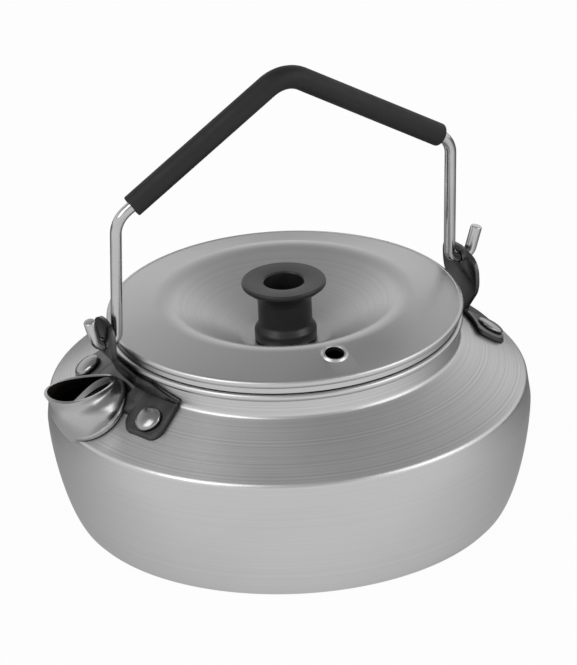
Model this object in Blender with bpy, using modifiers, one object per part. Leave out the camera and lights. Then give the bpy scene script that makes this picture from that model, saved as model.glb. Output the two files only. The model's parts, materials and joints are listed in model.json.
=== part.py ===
"""Camping coffee pot: a squat spun-aluminium kettle with a lift-off lid and a swinging wire bail.

The origin is the centre of the flat base, +Z is up, the bail swings about the X direction, the
spout points along -X and the side that faces a viewer is -Y. All lengths are in metres.
"""
import math

import bmesh
import bpy
from mathutils import Matrix, Vector

MM = 0.001

# Fits between pieces
touch_gap = 0.3 * MM            # left between two pieces that touch
shank_clearance = 0.3 * MM      # round a rivet or screw in its hole
lid_skirt_clearance = 0.6 * MM  # between the lid's skirt and the neck's inside
band_neck_clearance = 0.4 * MM  # between the neck and the lug's band round it

# Body: base, bulging side, sharp shoulder edge, sloping shoulder and neck
body_radius = 70.0 * MM
base_inset = 8.3 * MM           # of the base's edge inside the widest circle
widest_height = 30.7 * MM
side_curve_power = 1.45         # 1 is a straight slope, 2 is an ellipse
shoulder_edge_inset = 0.8 * MM
shoulder_edge_rise = 7.1 * MM   # from the widest circle to the shoulder's edge
shoulder_edge_round = 1.5 * MM
shoulder_rise = 12.8 * MM       # from the shoulder's edge to the neck's foot
neck_radius = 50.0 * MM
neck_foot_fillet = 1.2 * MM
neck_height = 6.0 * MM          # from the neck's foot to the centre of its rim bead
neck_bead_radius = 1.1 * MM
body_wall = 1.0 * MM
base_inner_chamfer = 0.6 * MM   # inside, where the side meets the base

# Lid: rolled rim, gently rising ring, ridge and a deep bowl that holds the knob
lid_overhang = 0.3 * MM         # of the lid's rim past the neck's bead
lid_bead_radius = 1.2 * MM
lid_groove_height = 2.0 * MM    # open groove between the neck's bead and the lid's bead
lid_sheet = 0.8 * MM
lid_rim_step = 0.2 * MM         # of the top sheet below the top of the rim bead
lid_ridge_setback = 15.1 * MM   # of the ridge from the rim
lid_ridge_rise = 2.8 * MM       # of the ridge above the top of the rim bead
lid_ridge_round = 3.0 * MM
lid_bowl_depth = 13.0 * MM      # from the ridge down to the bowl's floor
lid_bowl_floor_radius = 12.0 * MM
lid_bowl_round = 6.0 * MM
lid_skirt_depth = 8.0 * MM      # below the seat on the neck
vent_radius = 2.8 * MM
vent_from_ridge = 4.6 * MM
vent_angle = math.radians(-96)

# Knob and its screw
knob_flange_radius = 12.2 * MM
knob_flange_thickness = 2.1 * MM
knob_flange_dish = 0.5 * MM     # of the top's middle below its edge
knob_flange_top_round = 0.9 * MM
knob_flange_under_round = 0.8 * MM
knob_flare_height = 3.6 * MM
knob_flare_round = 3.0 * MM
knob_height = 17.5 * MM
knob_stem_radius = 7.8 * MM
knob_base_radius = 9.0 * MM
knob_base_height = 3.0 * MM
knob_base_chamfer_height = 2.0 * MM
knob_base_round = 1.5 * MM
knob_foot_round = 0.4 * MM
knob_bore_radius = 5.85 * MM
knob_bore_chamfer = 1.2 * MM
knob_floor_thickness = 3.8 * MM
screw_radius = 2.0 * MM
screw_tip_round = 0.5 * MM
screw_head_radius = 4.0 * MM
screw_head_height = 2.2 * MM
screw_head_round = 0.9 * MM
screw_end_above_nut = 1.0 * MM
nut_across_flats = 7.0 * MM
nut_thickness = 3.2 * MM
washer_radius = 4.9 * MM
washer_thickness = 0.8 * MM

# Bail: a bent steel wire with a rubber sleeve over its gabled top
wire_radius = 1.7 * MM
leg_lid_clearance = 0.3 * MM    # between a leg and the lid's rim, so that the lid lifts out
pivot_above_lid_rim = 1.7 * MM
bail_lean = math.radians(5.1)   # towards -Y, as it stands by friction
bail_corner_height = 39.4 * MM  # of the sharp corner of leg and gable, above the pivot
bail_gable_rise = 35.2 * MM     # from that corner to the sharp top corner
bail_corner_bend = 8.0 * MM
bail_apex_bend = 10.0 * MM
bail_pin_bend = 3.2 * MM
stub_lean = math.radians(16)    # outwards
stub_length = 9.0 * MM
stub_ear_clearance = 0.3 * MM
sleeve_wall = 1.4 * MM
sleeve_bore_clearance = 0.3 * MM
sleeve_end_setback = 5.2 * MM   # from each corner of leg and gable
sleeve_slide = 0.8 * MM         # how far the sleeve has crept towards the rear

# Lugs: bent steel sheet, riveted to the shoulder
lug_sheet = 1.2 * MM
ear_leg_clearance = 1.4 * MM
ear_eye_clearance = 0.5 * MM
rear_ear_half_width = 10.5 * MM
rear_ear_crown = 3.3 * MM       # above the pivot, on the ear's middle line
rear_ear_side_top = 1.9 * MM    # above the pivot, at the ear's sides
rear_ear_side_bottom = 7.0 * MM # below the pivot, where the ear starts to narrow
rear_ear_corner_round = 4.5 * MM
rear_ear_shoulder_round = 9.0 * MM
rear_waist_round = 2.0 * MM
rear_waist_half_width = 3.0 * MM
rear_waist_height = 1.5 * MM    # above the foot of the ear
rear_flange_width = 7.6 * MM    # from the bend to the outer edge
rear_flange_half_angle = math.radians(17.5)
rear_rivet_setback = 4.0 * MM   # from the bend
rear_rivet_angle = math.radians(10.5)
front_ear_crown = 8.0 * MM      # above the pivot, on the ear's middle line
front_ear_side_top = 7.6 * MM   # above the pivot, before its corners are rounded
front_ear_corner_round = 5.5 * MM
front_band_foot = 0.9 * MM      # above the neck's foot
front_band_height = 4.0 * MM    # stays below the neck's rim bead
front_band_end_height = 0.8 * MM
front_band_crown_share = 0.55   # of the band's half width that stands at full height
front_arm_half_width = 6.4 * MM # also the front ear's
front_arm_foot = 1.2 * MM       # above the neck's foot
front_arm_upright = 2.2 * MM    # height of the arm's foot before it leans out
front_arm_bend_drop = 2.9 * MM  # of the ear's lower bend below the pivot
front_arm_top_drop = 1.5 * MM   # of the arm's end, inside the ear, below the pivot
front_arm_inner_round = 0.6 * MM
front_arm_outer_round = 1.8 * MM
front_flange_inner_angle = math.radians(12.8)
front_flange_outer_angle = math.radians(26.5)
front_flange_width = 10.9 * MM
front_rivet_setback = 6.4 * MM
front_rivet_angle = math.radians(20.6)
rear_flange_corner_round = 4.2 * MM
front_flange_corner_round = 3.2 * MM
band_corner_round = 4.2 * MM
flange_root_round = 1.5 * MM

# Rivets
rivet_shank_radius = 2.0 * MM
rivet_dome_radius = 4.0 * MM
front_rivet_dome_height = 1.8 * MM
rear_rivet_dome_height = 1.0 * MM
rivet_dome_edge_share = 0.25    # of the dome's height that is its upright edge
rivet_tail_radius = 3.2 * MM
rivet_tail_height = 1.0 * MM

# Spout: a pressed cup on the shoulder, its mouth level and its lip pointing out
spout_sheet = 1.0 * MM
spout_neck_clearance = 3.7 * MM # from the neck to the middle of the wall's foot
spout_foot_half_width = 10.2 * MM
spout_foot_bead = 0.95 * MM
spout_collar_setback = 1.9 * MM # of the collar in the body's hole, from the wall's foot
spout_collar_front_setback = 4.4 * MM
spout_collar_depth = 1.2 * MM   # how far the collar reaches inside the body
spout_mouth_egg = 0.10          # how much wider the mouth is towards the pot
spout_mouth_setback = 0.7 * MM  # of the mouth's rear from the foot's rear
spout_tip_reach = 6.8 * MM      # of the tip past the shoulder's edge
spout_tip_rise = 14.0 * MM      # of the tip above the shoulder's edge
spout_mouth_dip = 1.2 * MM      # of the sides of the mouth below its tip
spout_mouth_half_width = 8.3 * MM
spout_belly = 1.1 * MM          # how far the wall swells low down
spout_waist = 0.4 * MM          # how far it draws in under the lip

# Cutters reach past what they cut
cut_over = 2.0 * MM
middle_tolerance = 0.01 * MM    # a point this near the middle plane lies on it
flat_face_margin = 0.5 * MM     # keeps a cutter's face off the face beside it
root_depth = 2.0 * MM           # how far the spout's wall starts below its foot, then trimmed
spout_root_lean = 0.4           # how far that start leans inwards, as a share of its depth
spout_overlap = 0.1 * MM        # keeps the collar's end inside the web

# Mesh fineness
body_steps = 56
side_steps = 9
lid_steps = 52
knob_steps = 28
small_steps = 14
spout_steps = 28

# Sizes that follow from the ones above
base_radius = body_radius - base_inset
shoulder_radius = body_radius - shoulder_edge_inset
shoulder_height = widest_height + shoulder_edge_rise
neck_foot_height = shoulder_height + shoulder_rise
shoulder_slope = shoulder_rise / (shoulder_radius - neck_radius)
shoulder_angle = math.atan(shoulder_slope)
neck_bead_height = neck_foot_height + neck_height
neck_bead_centre = neck_radius - body_wall + neck_bead_radius
neck_inner_radius = neck_radius - body_wall
neck_top = neck_bead_height + neck_bead_radius
lid_radius = neck_bead_centre + neck_bead_radius + lid_overhang
lid_seat_height = neck_top + touch_gap
lid_bead_height = neck_top + lid_groove_height + lid_bead_radius
lid_bead_centre = lid_radius - lid_bead_radius
lid_rim_top = lid_bead_height + lid_bead_radius
lid_ridge_radius = lid_radius - lid_ridge_setback
lid_ridge_height = lid_rim_top + lid_ridge_rise
lid_floor_top = lid_ridge_height - lid_bowl_depth
lid_floor_under = lid_floor_top - lid_sheet
vent_circle_radius = lid_ridge_radius + vent_from_ridge
knob_bottom = lid_floor_top + touch_gap
knob_top = knob_bottom + knob_height
knob_bore_floor = knob_bottom + knob_floor_thickness
pivot_height = lid_rim_top + pivot_above_lid_rim
bail_apex_height = bail_corner_height + bail_gable_rise
leg_offset = lid_radius + leg_lid_clearance + wire_radius
sleeve_radius = wire_radius + sleeve_bore_clearance + sleeve_wall
ear_inner_face = leg_offset + wire_radius + ear_leg_clearance
ear_offset = ear_inner_face + lug_sheet / 2
stub_offset = ear_inner_face + lug_sheet + stub_ear_clearance + wire_radius
rear_flange_outer_radius = ear_inner_face + rear_flange_width
rear_rivet_radius = ear_inner_face + rear_rivet_setback
front_band_inner = neck_radius + band_neck_clearance
front_band_radius = front_band_inner + lug_sheet / 2
front_flange_outer_radius = front_band_inner + front_flange_width
front_rivet_radius = front_band_inner + front_rivet_setback
spout_foot_rear = neck_radius + spout_neck_clearance
spout_foot_front = shoulder_radius + touch_gap + spout_sheet / 2
spout_mouth_rear = spout_foot_rear + spout_mouth_setback
spout_tip = shoulder_radius + spout_tip_reach
spout_tip_height = shoulder_height + spout_tip_rise
spout_collar_rear = spout_foot_rear + spout_collar_setback
spout_collar_front = spout_foot_front - spout_collar_front_setback
spout_collar_half_width = spout_foot_half_width - spout_collar_setback
screw_hole_radius = screw_radius + shank_clearance
rivet_hole_radius = rivet_shank_radius + shank_clearance


def material(name, colour, metallic, roughness):
    """A plain Principled material."""
    made = bpy.data.materials.new(name)
    made.use_nodes = True
    shader = made.node_tree.nodes["Principled BSDF"]
    shader.inputs["Base Color"].default_value = (*colour, 1.0)
    shader.inputs["Metallic"].default_value = metallic
    shader.inputs["Roughness"].default_value = roughness
    return made


def polar(radius, angle):
    """A point in plan, given from the pot's axis."""
    return radius * math.cos(angle), radius * math.sin(angle)


def shoulder_z(radius):
    """Height of the shoulder's outer face at a distance from the axis."""
    return neck_foot_height - (radius - neck_radius) * shoulder_slope


def rounded(points, radii, steps=4, closed=False):
    """A 2-D outline whose corners are arcs; a radius of 0 keeps the corner sharp."""
    result = []
    count = len(points)
    for index, (point, radius) in enumerate(zip(points, radii)):
        here = Vector(point)
        if radius <= 0 or (not closed and index in (0, count - 1)):
            result.append(tuple(here))
            continue
        back = (Vector(points[index - 1]) - here).normalized()
        ahead = (Vector(points[(index + 1) % count]) - here).normalized()
        half = back.angle(ahead) / 2
        reach = radius / math.tan(half)
        centre = here + (back + ahead).normalized() * (radius / math.sin(half))
        first = here + back * reach - centre
        last = here + ahead * reach - centre
        turn = math.atan2(first.x * last.y - first.y * last.x, first.dot(last))
        for step in range(steps + 1):
            angle = turn * step / steps
            cos_a, sin_a = math.cos(angle), math.sin(angle)
            arm = Vector((first.x * cos_a - first.y * sin_a, first.x * sin_a + first.y * cos_a))
            result.append(tuple(centre + arm))
    return result


def arc(centre, radius, start, end, steps):
    """Points on a circle in 2-D, angles in degrees."""
    angles = [math.radians(start + (end - start) * step / steps) for step in range(steps + 1)]
    return [(centre[0] + radius * math.cos(a), centre[1] + radius * math.sin(a)) for a in angles]


def add_object(name, mesh, collection, finish=None):
    """Link a new object to a collection, with its material."""
    item = bpy.data.objects.new(name, mesh)
    collection.objects.link(item)
    if finish is not None:
        mesh.materials.append(finish)
    return item


def as_cutter(item):
    """Cutters and guides show as wire and aren't rendered."""
    item.hide_render = True
    item.display_type = "WIRE"
    return item


def turned(name, profile, steps, collection, finish=None, closed=False):
    """A profile of (radius, height) points turned round Z with a Screw modifier."""
    mesh = bpy.data.meshes.new(name)
    points = [(radius, 0.0, height) for radius, height in profile]
    edges = [(index, index + 1) for index in range(len(points) - 1)]
    if closed:
        edges.append((len(points) - 1, 0))
    mesh.from_pydata(points, edges, [])
    item = add_object(name, mesh, collection, finish)
    screw = item.modifiers.new("turn", "SCREW")
    screw.steps = steps
    screw.render_steps = steps
    screw.use_merge_vertices = True
    screw.merge_threshold = 0.00001
    screw.use_smooth_shade = True
    return item


def mesh_from(item, collection):
    """Replace a curve object by the welded mesh of what it shows."""
    bpy.context.view_layer.update()
    evaluated = item.evaluated_get(bpy.context.evaluated_depsgraph_get())
    mesh = bpy.data.meshes.new_from_object(evaluated)
    weld = bmesh.new()
    weld.from_mesh(mesh)
    bmesh.ops.remove_doubles(weld, verts=weld.verts, dist=0.00001)
    bmesh.ops.recalc_face_normals(weld, faces=weld.faces)
    weld.to_mesh(mesh)
    weld.free()
    name = item.name
    finish = item.active_material
    matrix = item.matrix_world.copy()
    bpy.data.objects.remove(item)
    made = bpy.data.objects.new(name, mesh)
    mesh.name = name
    collection.objects.link(made)
    made.matrix_world = matrix
    if finish is not None and not mesh.materials:
        mesh.materials.append(finish)
    return made


def plate(name, outlines, thickness, matrix, collection, finish=None):
    """A flat sheet from closed 2-D outlines; an inner outline is a hole."""
    curve = bpy.data.curves.new(name, "CURVE")
    curve.dimensions = "2D"
    curve.fill_mode = "BOTH"
    curve.extrude = thickness / 2
    for outline in outlines:
        spline = curve.splines.new("POLY")
        spline.points.add(len(outline) - 1)
        spline.use_cyclic_u = True
        for point, (x, y) in zip(spline.points, outline):
            point.co = (x, y, 0.0, 1.0)
    item = add_object(name, curve, collection, finish)
    item.matrix_world = matrix
    return mesh_from(item, collection)


def wire(name, points, radius, collection, finish=None, closed=False, roundness=2):
    """A round wire along 3-D points, with capped ends."""
    curve = bpy.data.curves.new(name, "CURVE")
    curve.dimensions = "3D"
    curve.bevel_depth = radius
    curve.bevel_resolution = roundness
    curve.use_fill_caps = True
    spline = curve.splines.new("POLY")
    spline.points.add(len(points) - 1)
    spline.use_cyclic_u = closed
    for point, place in zip(spline.points, points):
        point.co = (*place, 1.0)
    return add_object(name, curve, collection, finish)


def boolean(item, operation, other):
    """Cut, join or keep the overlap with the exact solver."""
    step = item.modifiers.new(operation.lower() + " " + other.name, "BOOLEAN")
    step.operation = operation
    step.solver = "EXACT"
    step.object = other


def facing(origin, right, up):
    """A matrix that puts a plate's own X and Y along two directions."""
    right, up = Vector(right), Vector(up)
    out = right.cross(up)
    rows = [(right[i], up[i], out[i], origin[i]) for i in range(3)]
    return Matrix((*rows, (0, 0, 0, 1)))


def on_shoulder(radius, angle):
    """A matrix on the shoulder's outer face, with its Z square to that face."""
    x, y = polar(radius, angle)
    turn = Matrix.Rotation(angle, 4, "Z") @ Matrix.Rotation(shoulder_angle, 4, "Y")
    return Matrix.Translation((x, y, shoulder_z(radius))) @ turn


def body_profile():
    """Outer face from the neck's bead down to the base, then the inner face back up."""
    side = []
    for step in range(1, side_steps + 1):
        height = widest_height * math.cos(step / side_steps * math.pi / 2)
        share = 1 - (1 - height / widest_height) ** side_curve_power
        swell = (body_radius - base_radius) * share ** (1 / side_curve_power)
        side.append((base_radius + swell, height))
    outer_shoulder = rounded(
        [(neck_radius, neck_bead_height), (neck_radius, neck_foot_height),
         (shoulder_radius, shoulder_height), (body_radius, widest_height)],
        [0, neck_foot_fillet, shoulder_edge_round, 0], 3)
    bead = arc((neck_bead_centre, neck_bead_height), neck_bead_radius, 180, -85, 8)
    cone_shift = body_wall / math.cos(shoulder_angle)
    inner_top = neck_foot_height - cone_shift
    inner_edge_radius = shoulder_radius - body_wall
    inner_edge_height = shoulder_z(inner_edge_radius) - cone_shift
    inner = [(radius - body_wall, height) for radius, height in reversed(side[:-2])]
    inner = [(radius, max(height, body_wall + base_inner_chamfer)) for radius, height in inner]
    floor = [(0.0, 0.0), (0.0, body_wall), (base_radius - 2 * body_wall, body_wall)]
    neck_inside = [(neck_inner_radius, inner_top + body_wall * shoulder_slope)]
    shoulder_inside = [(body_radius - body_wall, widest_height),
                       (inner_edge_radius, inner_edge_height)]
    return bead + outer_shoulder[1:] + side + floor + inner + shoulder_inside + neck_inside


def build_body(parts, cutters, finish):
    shell = turned("body_shell", body_profile(), body_steps, parts, finish, closed=True)
    boolean(shell, "DIFFERENCE", spout_hole(cutters))
    for place in rivet_places():
        boolean(shell, "DIFFERENCE", rivet_drill(place, cutters))
    return shell


def lid_profile():
    """Top face from the screw hole out to the rim, the skirt, then the underside back in."""
    top = rounded(
        [(screw_hole_radius, lid_floor_top), (lid_bowl_floor_radius, lid_floor_top),
         (lid_ridge_radius, lid_ridge_height), (lid_bead_centre, lid_rim_top - lid_rim_step)],
        [0, lid_bowl_round, lid_ridge_round, 0], 4)
    bead = arc((lid_bead_centre, lid_bead_height), lid_bead_radius, 80, -100, 7)
    skirt_radius = neck_inner_radius - lid_skirt_clearance
    skirt_bottom = lid_seat_height - lid_skirt_depth
    seat = [(neck_bead_centre, lid_bead_height - lid_bead_radius),
            (neck_bead_centre, lid_seat_height),
            (skirt_radius, lid_seat_height), (skirt_radius, skirt_bottom),
            (skirt_radius - lid_sheet, skirt_bottom)]
    bowl_slope = lid_bowl_depth / (lid_ridge_radius - lid_bowl_floor_radius)
    drop = lid_sheet / math.cos(math.atan(bowl_slope))
    under = rounded(
        [(skirt_radius - lid_sheet, lid_rim_top - lid_rim_step - lid_sheet),
         (lid_ridge_radius, lid_ridge_height - drop),
         (lid_bowl_floor_radius, lid_floor_under), (screw_hole_radius, lid_floor_under)],
        [0, lid_ridge_round, lid_bowl_round, 0], 4)
    return top + bead + seat + under


def build_lid(parts, cutters, finish):
    lid = turned("lid", lid_profile(), lid_steps, parts, finish, closed=True)
    x, y = polar(vent_circle_radius, vent_angle)
    reach = lid_sheet + lid_ridge_rise + cut_over
    drill = turned("vent_drill", [(0, reach), (vent_radius, reach), (vent_radius, -reach),
                                  (0, -reach)], small_steps, cutters)
    drill.location = (x, y, lid_rim_top)
    boolean(lid, "DIFFERENCE", as_cutter(drill))
    return lid


def build_knob(parts, finish):
    flange_edge = knob_top - knob_flange_thickness
    stem_top = flange_edge - knob_flare_height
    base_top = knob_bottom + knob_base_height
    lip_height = knob_top - knob_flange_dish
    outside = rounded(
        [(knob_bore_radius + knob_bore_chamfer, lip_height), (knob_flange_radius, knob_top),
         (knob_flange_radius, flange_edge), (knob_stem_radius, stem_top),
         (knob_stem_radius, base_top + knob_base_chamfer_height),
         (knob_base_radius, base_top), (knob_base_radius, knob_bottom),
         (screw_hole_radius, knob_bottom)],
        [0, knob_flange_top_round, knob_flange_under_round, knob_flare_round, knob_base_round,
         knob_base_round, knob_foot_round, 0], 3)
    inside = [(screw_hole_radius, knob_bore_floor), (knob_bore_radius, knob_bore_floor),
              (knob_bore_radius, lip_height - knob_bore_chamfer)]
    return turned("knob", outside + inside, knob_steps, parts, finish, closed=True)


def build_knob_fixing(parts, finish):
    """Screw from under the lid, washer on its head, nut in the knob's bore."""
    washer_top = lid_floor_under - touch_gap
    washer_under = washer_top - washer_thickness
    head_top = washer_under - touch_gap
    head_under = head_top - screw_head_height
    nut_under = knob_bore_floor + touch_gap
    nut_top = nut_under + nut_thickness
    screw_top = nut_top + screw_end_above_nut
    turned("knob_screw", rounded(
        [(0, screw_top), (screw_radius, screw_top), (screw_radius, head_top),
         (screw_head_radius, head_top), (screw_head_radius, head_under), (0, head_under)],
        [0, screw_tip_round, 0, 0, screw_head_round, 0], 2), small_steps, parts, finish)
    turned("knob_washer", [(screw_hole_radius, washer_top), (washer_radius, washer_top),
                           (washer_radius, washer_under), (screw_hole_radius, washer_under)],
           small_steps, parts, finish, closed=True)
    corner = nut_across_flats / 2 / math.cos(math.pi / 6)
    hexagon = [polar(corner, math.radians(60 * side)) for side in range(6)]
    hole = [polar(screw_hole_radius, math.radians(360 / small_steps * side))
            for side in range(small_steps)]
    middle = Matrix.Translation((0, 0, (nut_under + nut_top) / 2))
    plate("knob_nut", [hexagon, hole], nut_thickness, middle, parts, finish)


def bail_outline():
    """Half of the bail's centreline in its own plane, from the stub's end to the apex."""
    stub_end = (stub_offset + stub_length * math.sin(stub_lean), stub_length * math.cos(stub_lean))
    corners = [stub_end, (stub_offset, 0.0), (leg_offset, 0.0), (leg_offset, bail_corner_height),
               (0.0, bail_apex_height), (-leg_offset, bail_corner_height)]
    bends = [0, bail_pin_bend, bail_pin_bend, bail_corner_bend, bail_apex_bend, 0]
    path = rounded(corners, bends, 4)[:-1]
    return [point for point in path if point[0] > -middle_tolerance]


def gable_point(distance, side):
    """A point on the gable, measured from the corner of leg and gable towards the apex."""
    run = Vector((-leg_offset, bail_apex_height - bail_corner_height)).normalized()
    place = Vector((leg_offset, bail_corner_height)) + run * distance
    return side * place.x, place.y


def both_sides(half):
    """Mirror a half path that runs towards the middle into a whole one."""
    other = [(-x, height) for x, height in reversed(half)]
    if abs(half[-1][0]) < middle_tolerance:
        other = other[1:]
    return half + other


def build_bail(parts, cutters, wire_finish, sleeve_finish):
    pivot = bpy.data.objects.new("bail_pivot", None)
    parts.objects.link(pivot)
    pivot.location = (0, 0, pivot_height)
    pivot.rotation_euler = (bail_lean, 0, 0)
    pivot.hide_render = True
    path = both_sides(bail_outline())
    bail = wire("bail", [(x, 0, height) for x, height in path], wire_radius, parts, wire_finish)
    bail.parent = pivot
    apex = [point for point in path if point[1] > bail_corner_height + bail_gable_rise / 2]
    covered = ([gable_point(sleeve_end_setback - sleeve_slide, 1)] + apex
               + [gable_point(sleeve_end_setback + sleeve_slide, -1)])
    bored = ([gable_point(sleeve_end_setback - sleeve_slide - cut_over, 1)] + apex
             + [gable_point(sleeve_end_setback + sleeve_slide - cut_over, -1)])
    sleeve = mesh_from(wire("grip_sleeve", [(x, 0, height) for x, height in covered],
                            sleeve_radius, parts, sleeve_finish, roundness=3), parts)
    bore = mesh_from(wire("sleeve_bore", [(x, 0, height) for x, height in bored],
                          wire_radius + sleeve_bore_clearance, cutters), cutters)
    sleeve.parent = pivot
    as_cutter(bore).parent = pivot
    boolean(sleeve, "DIFFERENCE", bore)


def ear_outline(crown, right, radii):
    """Ear in (Y, Z): its crown on the middle line, then its +Y side downwards, mirrored."""
    left = [(-y, z) for y, z in reversed(right)]
    top = (0.0, pivot_height + crown)
    return rounded([top] + right + left, [0] + radii + radii[::-1], 5, closed=True)


def eye_outline():
    return arc((0, pivot_height), wire_radius + ear_eye_clearance, 0, 337.5, 15)


def flange_ring(name, inner, outer, collection, sheet, finish=None):
    """A conical ring of sheet that lies on the shoulder."""
    lift = touch_gap / math.cos(shoulder_angle)
    height = sheet / math.cos(shoulder_angle)
    low = [(radius, shoulder_z(radius) + lift) for radius in (inner, outer)]
    high = [(radius, z + height) for radius, z in low]
    return turned(name, [high[0], high[1], low[1], low[0]], body_steps * 2, collection,
                  finish, closed=True)


def sector_outline(inner, outer, start, end, corner_round):
    """A plan outline between two radii and two angles, its corners rounded."""
    middle = (start + end) / 2
    quarter = (end - start) / 4
    bulge = outer / math.cos(quarter)
    points = [polar(inner, start), polar(outer, start), polar(bulge, start + quarter),
              polar(bulge, end - quarter), polar(outer, end), polar(inner, end),
              polar(inner, middle)]
    radii = [flange_root_round, corner_round, 0, 0, corner_round, flange_root_round, 0]
    return rounded(points, radii, 5, closed=True)


def x_prism(name, outline, x_from, x_to, cutters):
    """A (Y, Z) outline extruded along X."""
    middle = facing(((x_from + x_to) / 2, 0, 0), (0, 1, 0), (0, 0, 1))
    return as_cutter(plate(name, [outline], abs(x_to - x_from), middle, cutters))


def z_prism(name, outlines, cutters):
    """Plan outlines extruded through the shoulder's height."""
    middle = Matrix.Translation((0, 0, (shoulder_height + neck_foot_height) / 2))
    return as_cutter(plate(name, outlines, 3 * shoulder_rise, middle, cutters))


def drill_eye(lug, side, cutters):
    reach = lug_sheet / 2 + cut_over
    drill = x_prism(lug.name + "_eye", eye_outline(), side * (ear_offset - reach),
                    side * (ear_offset + reach), cutters)
    boolean(lug, "DIFFERENCE", drill)


def build_rear_lug(parts, cutters, finish):
    lug = flange_ring("rear_lug", ear_inner_face, rear_flange_outer_radius + cut_over,
                      parts, lug_sheet, finish)
    shape = sector_outline(ear_inner_face, rear_flange_outer_radius,
                           -rear_flange_half_angle, rear_flange_half_angle,
                           rear_flange_corner_round)
    boolean(lug, "INTERSECT", z_prism("rear_flange_shape", [shape], cutters))
    foot = shoulder_z(ear_inner_face) + lug_sheet / 2
    outline = ear_outline(
        rear_ear_crown,
        [(rear_ear_half_width, pivot_height + rear_ear_side_top),
         (rear_ear_half_width, pivot_height - rear_ear_side_bottom),
         (rear_waist_half_width, foot + rear_waist_height), (rear_waist_half_width, foot)],
        [rear_ear_corner_round, rear_ear_shoulder_round, rear_waist_round, 0])
    ear = plate("rear_ear", [outline], lug_sheet, facing((ear_offset, 0, 0), (0, 1, 0), (0, 0, 1)),
                cutters)
    boolean(lug, "UNION", as_cutter(ear))
    drill_eye(lug, 1, cutters)
    for angle in (-rear_rivet_angle, rear_rivet_angle):
        place = on_shoulder(rear_rivet_radius, angle)
        boolean(lug, "DIFFERENCE", rivet_drill(("rear_lug", place), cutters))


def arm_outline():
    """Edge of the front arm in (X, Z): up the neck, outwards to the ear and up again."""
    half = lug_sheet / 2
    foot = neck_foot_height + front_arm_foot
    bend_low = foot + front_arm_upright
    bend_high = pivot_height - front_arm_bend_drop
    lean = math.atan2(ear_offset - front_band_radius, bend_high - bend_low)
    shift = half * math.tan(lean / 2)
    top = pivot_height - front_arm_top_drop
    outer = [(-front_band_radius - half, foot), (-front_band_radius - half, bend_low - shift),
             (-ear_offset - half, bend_high - shift), (-ear_offset - half, top)]
    inner = [(-ear_offset + half, top), (-ear_offset + half, bend_high + shift),
             (-front_band_radius + half, bend_low + shift), (-front_band_radius + half, foot)]
    rounds = [0, front_arm_inner_round, front_arm_outer_round, 0]
    return rounded(outer + inner, rounds + rounds, 3, closed=True)


def build_front_lug(parts, cutters, finish):
    """A band round the neck, two riveted flanges, and an arm that carries the ear."""
    inner = front_band_inner
    lug = flange_ring("front_lug", inner, front_flange_outer_radius + cut_over, parts, lug_sheet,
                      finish)
    shapes = [sector_outline(inner, front_flange_outer_radius, math.pi + side[0], math.pi + side[1],
                             front_flange_corner_round)
              for side in ((front_flange_inner_angle, front_flange_outer_angle),
                           (-front_flange_outer_angle, -front_flange_inner_angle))]
    boolean(lug, "INTERSECT", z_prism("front_flange_shape", shapes, cutters))
    band_foot = neck_foot_height + front_band_foot
    band_top = band_foot + front_band_height
    band = turned("front_band", [(inner + lug_sheet, band_top), (inner + lug_sheet, band_foot),
                                 (inner, band_foot), (inner, band_top)],
                  body_steps * 2, cutters, closed=True)
    half = front_band_radius * math.sin(front_flange_outer_angle)
    crown = half * front_band_crown_share
    low = band_foot + front_band_end_height
    high = band_top - flat_face_margin
    under = band_foot - cut_over
    edge = rounded([(half, under), (half, low), (crown, high), (-crown, high), (-half, low),
                    (-half, under)],
                   [0, 0, band_corner_round, band_corner_round, 0, 0], 4, closed=True)
    boolean(band, "INTERSECT", x_prism("front_band_shape", edge, -front_band_radius - neck_height,
                                       -front_band_radius / 2, cutters))
    boolean(lug, "UNION", as_cutter(band))
    arm = plate("front_arm", [arm_outline()], 2 * front_arm_half_width,
                facing((0, 0, 0), (1, 0, 0), (0, 0, 1)), cutters)
    boolean(lug, "UNION", as_cutter(arm))
    outline = ear_outline(
        front_ear_crown,
        [(front_arm_half_width, pivot_height + front_ear_side_top),
         (front_arm_half_width, pivot_height - front_arm_bend_drop)],
        [front_ear_corner_round, 0])
    ear = plate("front_ear", [outline], lug_sheet,
                facing((-ear_offset, 0, 0), (0, 1, 0), (0, 0, 1)), cutters)
    boolean(lug, "UNION", as_cutter(ear))
    drill_eye(lug, -1, cutters)
    for angle in (-front_rivet_angle, front_rivet_angle):
        place = on_shoulder(front_rivet_radius, math.pi + angle)
        boolean(lug, "DIFFERENCE", rivet_drill(("front_lug", place), cutters))


def rivet_places():
    """Name and place of each rivet; left and right are seen from the middle of the pot."""
    return [("front_rivet_left", on_shoulder(front_rivet_radius, math.pi + front_rivet_angle)),
            ("front_rivet_right", on_shoulder(front_rivet_radius, math.pi - front_rivet_angle)),
            ("rear_rivet_left", on_shoulder(rear_rivet_radius, rear_rivet_angle)),
            ("rear_rivet_right", on_shoulder(rear_rivet_radius, -rear_rivet_angle))]


def rivet_drill(place, cutters):
    name, matrix = place
    reach = body_wall + lug_sheet + cut_over
    drill = turned(name + "_drill", [(0, reach), (rivet_hole_radius, reach),
                                     (rivet_hole_radius, -reach), (0, -reach)],
                   small_steps, cutters)
    drill.matrix_world = matrix
    return as_cutter(drill)


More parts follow.
